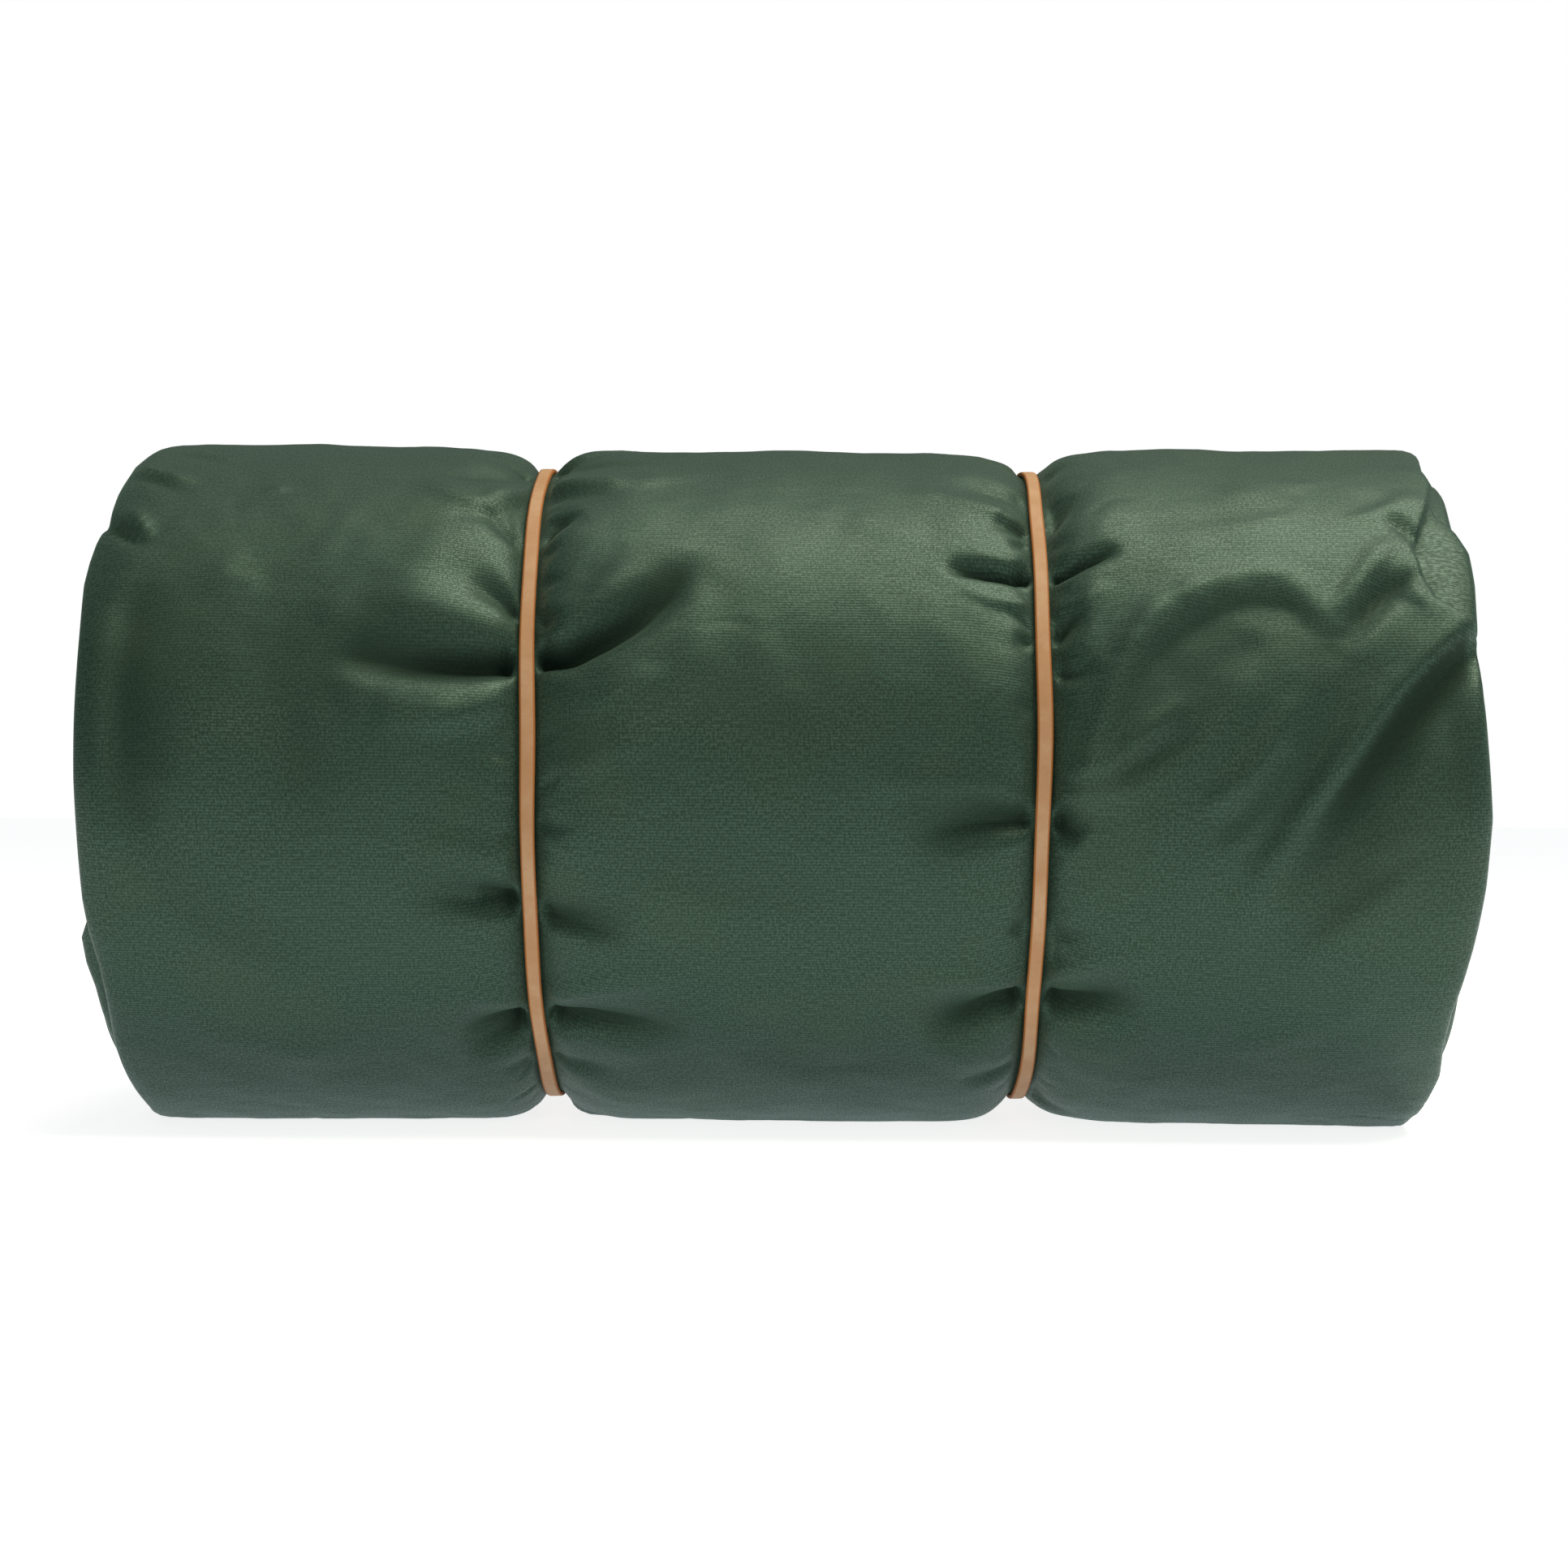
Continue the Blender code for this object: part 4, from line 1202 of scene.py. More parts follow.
    def outside(self, x: Points, climb: Points, mean: Points, floor: Points) -> Points:
        """Radius of the skin.

        Args:
            x: Along the roll.
            climb: Degrees up the front.
            mean: The unpinched radius there.
            floor: The radius under a band there.

        Returns:
            The radius at each place.
        """
        free = mean + self.swell(x, climb)
        share = np.max([self.groove(x - ring.place(climb)) for ring in self.rings], axis=0)
        nearest = self.nearest_ring(x, climb)
        held = eased((nearest - self.held_from) / self.held_run)
        relief = self.wrinkled(x, climb)
        # Each fold also gives painted shade along its valley, kept for the cloth's colour.
        lit = np.ones(x.shape)
        for fold in self.folds:
            moved, hollow = fold.relief(x, climb, self.winding.skin_radius)
            relief = relief + moved
            lit = lit * (1 - hollow)
        # A thin painted shadow beside each band, where the cloth meets it.
        beside = bump(nearest, self.band_half, self.rim_spread)
        self.hollow = np.maximum((1 - lit) * held, self.rim_shade * beside)
        past = np.clip((np.abs(x) - self.rounded_past) / self.rounding_run, 0.0, 1.2)
        relief = relief * (1 - 0.6 * np.minimum(past, 1.0) ** 2)
        return free - (free - floor) * share + relief * held - self.end_rounding * past**2.2


@dataclass
class Puffed:
    """What a cloth simulation moved: offsets on a tube's own grid, to be read anywhere on it."""

    xs: Points
    climbs: Points
    offsets: Points

    def read(self, x: Points, climb: Points) -> Points:
        """Offsets at places on the skin, between the grid's points."""
        column = np.interp(x, self.xs, np.arange(len(self.xs)))
        row = ((climb - self.climbs[0]) % 360.0) / 360.0 * len(self.climbs)
        c0 = np.clip(np.floor(column).astype(int), 0, len(self.xs) - 2)
        r0 = np.floor(row).astype(int) % len(self.climbs)
        r1 = (r0 + 1) % len(self.climbs)
        fc = (column - c0)[..., None]
        fr = (row - np.floor(row))[..., None]
        low = self.offsets[r0, c0] * (1 - fc) + self.offsets[r0, c0 + 1] * fc
        high = self.offsets[r1, c0] * (1 - fc) + self.offsets[r1, c0 + 1] * fc
        return low * (1 - fr) + high * fr


@dataclass
class SkinSimulation:
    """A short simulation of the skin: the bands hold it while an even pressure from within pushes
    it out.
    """

    skin: Skin
    columns: int = 150
    rows: int = 168
    frames: int = 15
    half_length: float = 147 * MM
    held_past: float = 139 * MM
    hold_run: float = 4.0 * MM
    slack_radius: float = 79.5 * MM
    pressure: float = 200.0
    vertex_mass: float = 0.004
    most: float = 1.6 * MM

    def run(self) -> Puffed:
        """Simulate, and read how far each point of the tube moved.

        Returns:
            The moves, to be read anywhere on the skin.
        """
        winding = self.skin.winding
        xs = np.linspace(-self.half_length, self.half_length, self.columns)
        free_edge = float(winding.climb(np.array([float(winding.fly.last)]))[0])
        climbs = free_edge + np.arange(self.rows + 1) * 360.0 / self.rows
        x, climb = np.meshgrid(xs, climbs)
        wrapped = (climb + 180.0) % 360.0 - 180.0
        mean = np.full(x.shape, winding.skin_radius)
        floor = np.full(x.shape, winding.pinched_radius)
        start = winding.placed(x, self.skin.outside(x, wrapped, mean, floor), climb)
        slack = winding.placed(x, np.full(x.shape, self.slack_radius), climb)
        from_band = self.skin.nearest_ring(x, wrapped) - self.skin.band_half
        near = np.minimum(from_band, self.held_past - np.abs(x))
        hold = 1.0 - eased(near / self.hold_run)
        tube, places = self._tube(start, slack, hold)
        moved = self._settled(tube)
        offsets = np.zeros(start.shape)
        offsets.reshape(-1, 3)[places] = moved - start.reshape(-1, 3)[places]
        length = np.linalg.norm(offsets, axis=-1, keepdims=True)
        offsets *= np.minimum(1.0, self.most / np.maximum(length, 1e-9))
        offsets = self._smoothed(offsets[:-1])
        log.info("skin simulated: it moved %.2f mm at most", 1000 * float(length.max()))
        return Puffed(xs, climbs[:-1], offsets)

    def _tube(self, start: Points, slack: Points, hold: Points) -> tuple[bpy.types.Object, Points]:
        """The tube that is simulated, and which place of the grid each of its points is."""
        rows, columns = start.shape[:2]
        shape = bmesh.new()
        bmesh.ops.create_grid(shape, x_segments=columns - 1, y_segments=rows - 1, size=0.5)
        numbers = shape.verts.layers.int.new("grid_place")
        for number, vert in enumerate(shape.verts):
            vert[numbers] = number
            vert.co = start[number // columns, number % columns]
        bmesh.ops.remove_doubles(shape, verts=shape.verts, dist=0.00001)
        mesh = bpy.data.meshes.new("skin_tube")
        shape.to_mesh(mesh)
        shape.free()
        places = np.empty(len(mesh.vertices), dtype=np.int32)
        mesh.attributes["grid_place"].data.foreach_get("value", places)
        tube = linked("skin_tube", mesh)
        held = tube.vertex_groups.new(name="held")
        for index, place in enumerate(places):
            held.add([index], float(hold.ravel()[place]), "REPLACE")
        tube.shape_key_add(name="start")
        rest = tube.shape_key_add(name="slack")
        rest.data.foreach_set("co", slack.reshape(-1, 3)[places].astype(np.float32).ravel())
        return tube, places

    def _settled(self, tube: bpy.types.Object) -> Points:
        """Where the tube's points are once its cloth has settled; the tube is used up."""
        cloth = tube.modifiers.new("cloth", "CLOTH")
        settings = cloth.settings
        settings.quality = 6
        settings.mass = self.vertex_mass
        settings.air_damping = 3.0
        settings.tension_stiffness = 18.0
        settings.compression_stiffness = 14.0
        settings.shear_stiffness = 8.0
        settings.bending_stiffness = 1.2
        settings.vertex_group_mass = "held"
        settings.rest_shape_key = tube.data.shape_keys.key_blocks["slack"]
        settings.use_pressure = True
        settings.uniform_pressure_force = self.pressure
        settings.effector_weights.gravity = 0.0
        cloth.collision_settings.use_collision = False
        cloth.point_cache.frame_start = 1
        cloth.point_cache.frame_end = self.frames
        scene = bpy.context.scene
        for frame in range(1, self.frames + 1):
            scene.frame_set(frame)
        seen = tube.evaluated_get(bpy.context.evaluated_depsgraph_get())
        moved = np.empty(3 * len(seen.data.vertices))
        seen.data.vertices.foreach_get("co", moved)
        mesh = tube.data
        bpy.data.objects.remove(tube)
        bpy.data.meshes.remove(mesh)
        scene.frame_set(1)
        return moved.reshape(-1, 3)

    def _smoothed(self, offsets: Points) -> Points:
        """The moves without the grid's own ripple."""
        for axis in (0, 1):
            before, after = np.roll(offsets, 1, axis), np.roll(offsets, -1, axis)
            mixed = 0.5 * offsets + 0.25 * (before + after)
            if axis == 1:
                mixed[:, 0], mixed[:, -1] = offsets[:, 0], offsets[:, -1]
            offsets = mixed
        return offsets


# Making pieces


def charted_sheet(
    name: str,
    places: Points,
    chart: Points,
    material: bpy.types.Material,
    hollow: Optional[Points] = None,
) -> bpy.types.Object:
    """A grid wrapped to the places of its rows and columns, closed where its edges meet.

    Args:
        name: The piece's name.
        places: Points by row and column; where the last column equals the first, they are joined.
        chart: The cloth's own flat places, for the weave.
        material: Its finish.
        hollow: How much painted shade each point gets, 0 to 1.

    Returns:
        The piece.
    """
    rows, columns = places.shape[:2]
    shape = bmesh.new()
    bmesh.ops.create_grid(shape, x_segments=columns - 1, y_segments=rows - 1, size=0.5)
    mesh = bpy.data.meshes.new(name)
    shape.to_mesh(mesh)
    shape.free()
    mesh.vertices.foreach_set("co", places.astype(np.float32).ravel())
    if hollow is not None:
        mark = mesh.attributes.new(PAINTED_SHADE_NAME, "FLOAT", "POINT")
        mark.data.foreach_set("value", hollow.astype(np.float32).ravel())
    corners = np.empty(len(mesh.loops), dtype=np.int32)
    mesh.loops.foreach_get("vertex_index", corners)
    layer = mesh.uv_layers.new(name=UV_NAME)
    layer.data.foreach_set("uv", chart.reshape(-1, 2)[corners].astype(np.float32).ravel())
    shape = bmesh.new()
    shape.from_mesh(mesh)
    bmesh.ops.remove_doubles(shape, verts=shape.verts, dist=0.00001)
    rims = [edge for edge in shape.edges if edge.is_boundary]
    if rims:
        filled = bmesh.ops.holes_fill(shape, edges=rims, sides=0)
        bmesh.ops.triangulate(shape, faces=filled["faces"], ngon_method="EAR_CLIP")
    bmesh.ops.recalc_face_normals(shape, faces=shape.faces)
    shape.to_mesh(mesh)
    shape.free()
    mesh.shade_smooth()
    mesh.materials.append(material)
    return linked(name, mesh)


@dataclass(frozen=True)
class EdgeLine:
    """A ply's edge in front: degrees of climb, and millimetres from the roll's middle."""

    pairs: tuple

    def at(self, climb: Points) -> Points:
        """The edge's distance from the roll's middle at a climb, in metres."""
        climbs, reaches = zip(*self.pairs)
        return np.interp(climb, climbs, reaches) * MM


RIGHT_OUTER_EDGE = EdgeLine((
    (-104, 143), (-86, 142), (-72, 142.1), (-56, 144), (-47, 142.9), (-39, 143.2), (-33, 144.7),
    (-27, 146.1), (-16, 147.9), (-5, 148.7), (5, 147.8), (15, 147.0), (25, 146.8), (27.5, 146.0),
    (31, 138.6), (36, 136.0), (42, 134.6), (53, 140.2), (60, 142.4), (66, 141.4), (73, 142.6),
    (86, 145.0), (104, 146.5),
))
RIGHT_SECOND_EDGE = EdgeLine((
    (-86, 143.5), (20, 144.5), (27, 147.6), (38, 148.3), (46, 148.3), (50, 146.3), (53, 143.0),
    (62, 141.5), (86, 143.0), (104, 145.0),
))
LEFT_OUTER_EDGE = EdgeLine((
    (-104, 144), (-86, 142.8), (-71, 142.5), (-61, 144.1), (-50, 144.8), (-39, 144.6), (-32, 145.3),
    (-27, 146.5), (-20, 147.6), (0, 148.8), (24, 149.4), (35, 149.8), (40, 149.3), (44, 148.6),
    (47, 147.6), (49, 146.8), (57, 146.6), (67, 145.4), (72, 144.1), (86, 144.2), (104, 146.0),
))
LEFT_SECOND_EDGE = EdgeLine((
    (-86, 144), (-60, 144.6), (-49, 146.3), (-43, 147.1), (-38, 147.6), (-33, 148.8), (-28, 149.0),
    (-23, 146.5), (10, 146), (40, 147), (48, 145.5), (86, 143), (104, 145),
))


@dataclass
class PlyEnds:
    """The folded edges of a strip's plies at one end of the roll."""

    side: int
    plies: int
    seed: int
    reach: float = 147.0 * MM
    uneven: float = 2.2 * MM
    crease: float = 6.5 * MM
    wave_run: float = 28.0

    def edge(self, ply: int, station: Points) -> Points:
        """How far from the roll's middle a ply ends.

        Args:
            ply: The ply, 0 the outermost.
            station: Where along the winding.

        Returns:
            The distance.
        """
        dice = random.Random(self.seed * 31 + ply * 7 + self.side)
        total = np.zeros_like(station)
        for turns in (0.6, 1.1, 1.9, 3.1, 5.3):
            phase = dice.uniform(0, math.tau)
            wave = np.sin(station * math.tau / self.wave_run * turns + phase)
            total += wave * dice.uniform(0.5, 1.0) / turns**0.4
        lean = dice.uniform(-1.0, 1.0)
        return self.reach + self.uneven * np.clip(0.45 * total + 0.5 * lean, -1.3, 1.15)


@dataclass
class WoundCloth:
    """One cloth of the roll as a soft strip of plies, with its folded edges at both ends."""

    name: str
    strip: Strip
    plies: int
    winding: Winding
    skin: Optional[Skin]
    material: bpy.types.Material
    step: float
    seed: int
    gathered_turn: int = 0
    least_under_band: float = 1.6 * MM
    shut_radius: float = 3.5 * MM
    lid_start: float = 120.8 * MM
    lid_run: float = 15.0 * MM
    lid_radius: float = 33.0 * MM
    lid_shares: tuple = (0.965, 0.93, 0.90, 0.875, 0.85, 0.83, 0.822, 0.60, 0.30)
    lid_sink: float = 6.0 * MM
    pleat_height: float = 0.9 * MM
    lap: float = 1.1 * MM
    puff_run: float = 1.5
    edge_run: float = 3.5
    covered_step: float = 0.34
    cover_run: float = 0.8
    cover_margin: float = 0.05
    cover_clearance: float = 0.6 * MM
    tip_rounding: float = 0.22
    seen_climb: float = 118.0
    seen_fade: float = 14.0
    end_depth: float = 12 * MM
    pinch_share: float = 1.15
    crumple_from: float = 110 * MM
    crumple_run: float = 38 * MM
    crumple_radius: float = 68 * MM
    crumple_fade: float = 9 * MM
    draw_run: float = 8 * MM
    columns_reach: float = 140 * MM
    outer_count: int = 196
    dense_count: int = 4001
    crowding: float = 2.2
    crowding_run: float = 9 * MM

    def stations(self) -> Points:
        """Stations of the mesh's rows, further apart where the next turn covers them."""
        per_degree = self.winding.turn / 360.0
        count = max(2, round((self.strip.last - self.strip.first) / (self.step * per_degree)))
        rows = np.linspace(self.strip.first, self.strip.last, count + 1)
        if self.skin is not None:
            covered = np.arange(self.strip.first, self._cover_end(), self.covered_step)
            rows = np.concatenate([covered, rows[rows >= self._cover_end()]])
        return rows

    def _cover_end(self) -> float:
        """The station up to which the next turn covers the strip."""
        return self.strip.last - self.winding.turn

    def _covered(self, rows: Points) -> Points:
        """Which rows the next turn covers."""
        return (rows < self._cover_end() + self.cover_margin)[:, None]

    def fullness(self, rows: Points) -> Points:
        """Share of the strip's thickness at each row: it rounds off at the tips."""
        from_end = np.minimum(rows - rows[0], rows[-1] - rows) / self.tip_rounding
        return np.sqrt(np.clip(1 - (1 - np.clip(from_end, 0.12, 1.0)) ** 2, 0.0, 1.0))

    def end_profile(
        self, side: int, rows: Points, top: Points, bottom: Points
    ) -> tuple[Points, Points]:
        """Where the strip's end goes, from its outer side to its inner side.

        Args:
            side: -1 at the left end, 1 at the right.
            rows: Stations of the rows.
            top: The outer radius at the end.
            bottom: The inner radius at the end.

        Returns:
            Distances from the roll's middle and radii, by row and point.
        """
        ends = PlyEnds(side, self.plies, self.seed)
        ply = (top - bottom) / self.plies
        xs, radii = [], []
        edges = [ends.edge(number, rows) for number in range(self.plies)]
        if self.skin is not None:
            edges = self.seen_edges(side, rows, edges)
        for number in range(self.plies):
            upper = top - number * ply
            edge = edges[number]
            half = 0.5 * ply
            if number > 0:
                start = np.minimum(edges[number - 1], edge) - ends.crease
                for run in (0.35, 0.7):
                    xs.append(start + (edge - half - start) * run)
                    radii.append(upper - 0.06 * ply)
            for turn in (90, 55, 20, -20, -55, -90):
                bend = math.radians(turn)
                xs.append(edge - half + half * math.cos(bend))
                radii.append(upper - half + 0.94 * half * math.sin(bend))
            if number < self.plies - 1:
                back = np.minimum(edge, edges[number + 1]) - ends.crease
                xs.append(back + (edge - half - back) * 0.5)
                radii.append(upper - 0.97 * ply)
                xs.append(back)
                radii.append(upper - ply)
        return np.stack(xs, axis=1), np.stack(radii, axis=1)

    def seen_edges(self, side: int, rows: Points, edges: list) -> list:
        """The outer plies' edges as they show from the front.

        Args:
            side: -1 at the left end, 1 at the right.
            rows: Stations of the rows.
            edges: The edges as grown.

        Returns:
            The edges, those of the two outer plies set in front.
        """
        climb = self.winding.climb(rows)
        seen = eased((self.seen_climb - np.abs(climb)) / self.seen_fade)
        outer = (RIGHT_OUTER_EDGE if side > 0 else LEFT_OUTER_EDGE).at(climb)
        second = (RIGHT_SECOND_EDGE if side > 0 else LEFT_SECOND_EDGE).at(climb)
        edges[0] = edges[0] + (outer - edges[0]) * seen
        edges[1] = edges[1] + (second - edges[1]) * seen
        return edges

    def outer_columns(self) -> Points:
        """Places along the roll of the outer side's points, closer together near the bands."""
        if self.skin is None:
            return np.linspace(-1.0, 1.0, 10)
        dense = np.linspace(-1.0, 1.0, self.dense_count)
        x = dense * self.columns_reach
        near = np.min([np.abs(x - ring.middle * MM) for ring in self.skin.rings], axis=0)
        weight = 1.0 + self.crowding * np.exp(-near / self.crowding_run)
        run = run_along((weight[1:] + weight[:-1]) / 2)
        return np.interp(np.linspace(0, run[-1], self.outer_count), run, dense)

    def inner_columns(self) -> Points:
        """Places along the roll of the inner points, right to left, closer under the bands."""
        steps = (0.0, 1.8, 3.6, 6.0, 10.0, 17.0, 28.0, 44.0)
        places = {0.0, -116.0, 116.0}
        for ring in self.skin.rings:
            places |= {ring.middle + way * step for step in steps for way in (-1, 1)}
        return MM * np.array(sorted(places, reverse=True))

    def build(self) -> bpy.types.Object:
        """Make the cloth.

        Returns:
            The piece.
        """
        rows = self.stations()
        outer, inner = self._sides(rows)
        shut = inner
        if self.gathered_turn:
            shut = inner + (self.shut_radius - inner) * self._gathered_share(rows)
        left_x, left_r = self.end_profile(-1, rows, outer, shut)
        right_x, right_r = self.end_profile(1, rows, outer, shut)
        top_x = self._spread(-left_x[:, 0], right_x[:, 0], self.outer_columns()[1:-1])
        top_r = np.broadcast_to(outer[:, None], top_x.shape)
        # The skin's painted shade, carried to the cloth's colour.
        hollow = None
        if self.skin is not None:
            top_r = self._outer_side(top_x, rows, outer)
            hollow = self.skin.hollow
            left_r = self._end_side(-left_x, left_r, rows, outer)
            right_r = self._end_side(right_x, right_r, rows, outer)
        low_x, low_r = self._inner_side(rows, (-left_x[:, -1], right_x[:, -1]), inner, shut)
        xs = np.concatenate([top_x, right_x, low_x, -left_x[:, ::-1]], axis=1)
        radii = np.concatenate([top_r, right_r, low_r, left_r[:, ::-1]], axis=1)
        if self.gathered_turn:
            xs, radii = self._gathered(xs, radii, rows)
        return self._finished(rows, xs, radii, hollow)

    def _sides(self, rows: Points) -> tuple[Points, Points]:
        """The strip's outer and inner radius at each row, where nothing pinches it."""
        w = self.winding
        mid = 0.5 * (w.at(rows, w.outer) + w.at(rows, w.inner))
        full = self.fullness(rows)
        outer = mid + (w.at(rows, w.outer) - mid) * full
        inner = mid + (w.at(rows, w.inner) - mid) * full
        if self.skin is not None:
            exposed = eased((rows - self._cover_end()) / self.cover_run)
            outer = outer - GAP * (1 - exposed)
        return outer, inner

    def _spread(self, low: Points, high: Points, shares: Points) -> Points:
        """Places between two ends of each row, at shares from -1 to 1."""
        return low[:, None] + (high - low)[:, None] * (shares[None] + 1) / 2

    def _skin_radii(self, x: Points, rows: Points, outer: Points) -> Points:
        """Radii of the roll's skin at places along each row."""
        w = self.winding
        climb = np.broadcast_to(w.climb(rows)[:, None], x.shape)
        floor = np.minimum(w.at(rows, w.floor), outer)
        return self.skin.outside(x, climb, outer[:, None] + 0 * x, floor[:, None] + 0 * x)

    def _outer_side(self, x: Points, rows: Points, outer: Points) -> Points:
        """Radii of the outer side: the skin's, and below it where the next turn covers it."""
        radii = self._skin_radii(x, rows, outer)
        below = np.minimum(radii, outer[:, None] - self.cover_clearance)
        return np.where(self._covered(rows), below, radii)

    def _end_side(self, x: Points, radii: Points, rows: Points, outer: Points) -> Points:
        """Let an end's outer ply follow the skin's own relief.

        Args:
            x: Places of the end's points along the roll.
            radii: Their radii.
            rows: Stations of the rows.
            outer: The outer radius, by row.

        Returns:
            The new radii.
        """
        depth = np.clip((outer[:, None] - radii) / self.end_depth, 0.0, 1.0)
        lift = (self._skin_radii(x, rows, outer) - outer[:, None]) * (1 - depth) ** 1.5
        sunk = np.minimum(lift, -self.cover_clearance)
        return radii + np.where(self._covered(rows), sunk, lift)

    def _inner_side(
        self, rows: Points, ends: tuple, inner: Points, shut: Points
    ) -> tuple[Points, Points]:
        """The inner side, from its right end to its left one.

        Args:
            rows: Stations of the rows.
            ends: Where the side starts and stops along the roll, left and right.
            inner: The inner radius, by row.
            shut: The inner radius past the core's ends, by row.

        Returns:
            Places along the roll and radii, by row and point.
        """
        w = self.winding
        if self.skin is not None:
            columns = self.inner_columns()
            x = np.broadcast_to(columns[None], (len(rows), len(columns)))
            places = [ring.place(w.climb(rows))[:, None] for ring in self.skin.rings]
            pinch = np.max([self.skin.groove(x - place) for place in places], axis=0)
            pinch = self.pinch_share * pinch
            pinched = np.minimum(inner, w.at(rows, w.floor) - self.least_under_band)
            return x, inner[:, None] - (inner - pinched)[:, None] * np.minimum(1.0, pinch)
        if not self.gathered_turn:
            x = self._spread(*ends, np.linspace(1.0, -1.0, 8)[1:-1])
            return x, np.broadcast_to(inner[:, None], x.shape)
        lid = np.array(self.lid_shares)
        x = self._spread(*ends, np.concatenate([lid, [0.0], -lid[::-1]]))
        over = eased((np.abs(x) - self.lid_start) / self.lid_run)
        return x, inner[:, None] + (shut - inner)[:, None] * over

    def _finished(
        self, rows: Points, xs: Points, radii: Points, hollow: Optional[Points]
    ) -> bpy.types.Object:
        """Close the strip's section and make the piece.

        Args:
            rows: Stations of the rows.
            xs: Places along the roll, by row and point.
            radii: Radii.
            hollow: How much painted shade each point of the outer side gets.

        Returns:
            The piece.
        """
        climbs = np.broadcast_to(self.winding.climb(rows)[:, None], xs.shape)
        xs, radii = self._crumpled(xs, radii, climbs)
        loop = np.append(np.arange(xs.shape[1]), 0)
        xs, radii, climbs = xs[:, loop], radii[:, loop], climbs[:, loop]
        places = self.winding.placed(xs, radii, climbs)
        # Painted shade for the points of the outer side.
        marks = None
        if hollow is not None:
            seen = hollow.shape[1]
            marks = np.zeros(xs.shape)
            marks[:, :seen] = hollow
            marks[:, -1] = marks[:, 0]
            if self.skin.moved is not None:
                places = self._puffed(places, xs[:, :seen], climbs[:, :seen], rows)
        return charted_sheet(self.name, places, self._chart(places, rows), self.material, marks)

    def _gathered_share(self, rows: Points) -> Points:
        """How far the net is drawn over the core's ends, by row: all of its first turn is."""
        return 1.0 - eased((rows - (self.gathered_turn - 0.25)) / 1.0)

    def _gathered(self, xs: Points, radii: Points, rows: Points) -> tuple[Points, Points]:
        """Pleat the net where its first turn is drawn over the core's ends.

        Args:
            xs: Places along the roll.
            radii: Radii.
            rows: Stations of the rows.

        Returns:
            The new places and radii.
        """
        turned = rows[:, None] / self.gathered_turn * math.tau
        across = np.clip(radii / self.lid_radius, 0.0, 1.0)
        past = np.abs(xs) - self.lid_start - 0.7 * self.lid_run
        drawn = eased(past / self.draw_run) * (across < 1.0)
        over = eased((rows[:, None] - (self.gathered_turn - 1.4)) / 1.0)
        lid = drawn * self._gathered_share(rows)[:, None]
        pleat = np.sin(13 * turned + 0.9 * np.sin(3 * turned)) + 0.5 * np.sin(29 * turned + 1.7)
        sunk = self.lid_sink * (1 - across) ** 1.3
        sunk = sunk - self.pleat_height * pleat * np.sin(np.pi * across) ** 0.7
        return xs - np.sign(xs) * (lid * sunk - drawn * over * self.lap), radii

    def _crumpled(self, xs: Points, radii: Points, climbs: Points) -> tuple[Points, Points]:
        """Unevenness that neighbours share, so that the plies stay apart.

        Args:
            xs: Places along the roll.
            radii: Radii.
            climbs: Degrees up the front.

        Returns:
            The new places and radii.
        """
        near_end = eased((np.abs(xs) - self.crumple_from) / self.crumple_run)
        turned = np.radians(climbs)
        y, z = radii * np.cos(turned), radii * np.sin(turned)
        wave = np.sin(y / (8.5 * MM) + 1.3) * np.sin(z / (9.7 * MM) - 0.4)
        slow = np.sin(y / (19 * MM) + 0.7 * np.sign(xs)) + np.sin(z / (23 * MM) + 2.0)
        inside = 1 - eased((radii - self.crumple_radius) / self.crumple_fade)
        radii = radii + near_end * inside * MM * (0.55 * wave + 0.5 * slow)
        xs = xs + near_end * MM * (0.5 * slow - 0.6 * wave) * np.sign(xs) * inside
        return xs, radii

    def _puffed(self, places: Points, xs: Points, climbs: Points, rows: Points) -> Points:
        """Add what the simulation moved to the exposed skin.

        Args:
            places: The points.
            xs: Places along the roll of those on the outer side.
            climbs: Their climbs.
            rows: Stations of the rows.

        Returns:
            The moved points.
        """
        share = eased((rows - self._cover_end() - 0.1) / self.puff_run)
        at_edge = eased((rows - self.strip.last + self.edge_run) / self.edge_run)
        share = share * (1 - 0.85 * at_edge)
        moves = self.skin.moved.read(xs, climbs)
        places = places.copy()
        places[:, : xs.shape[1]] += moves * share[:, None, None]
        places[..., 2] = np.maximum(places[..., 2], 0.0)
        return places

    def _chart(self, places: Points, rows: Points) -> Points:
        """The cloth's flat places: along the section, and round the roll."""
        legs = np.linalg.norm(np.diff(places, axis=1), axis=2).mean(axis=0)
        turned = (rows - rows[0]) * math.tau / self.winding.turn
        radius = self.winding.at(rows, self.winding.outer)
        along = run_along(np.diff(turned) * (radius[1:] + radius[:-1]) / 2)
        return np.stack(np.meshgrid(run_along(legs), along), axis=-1)


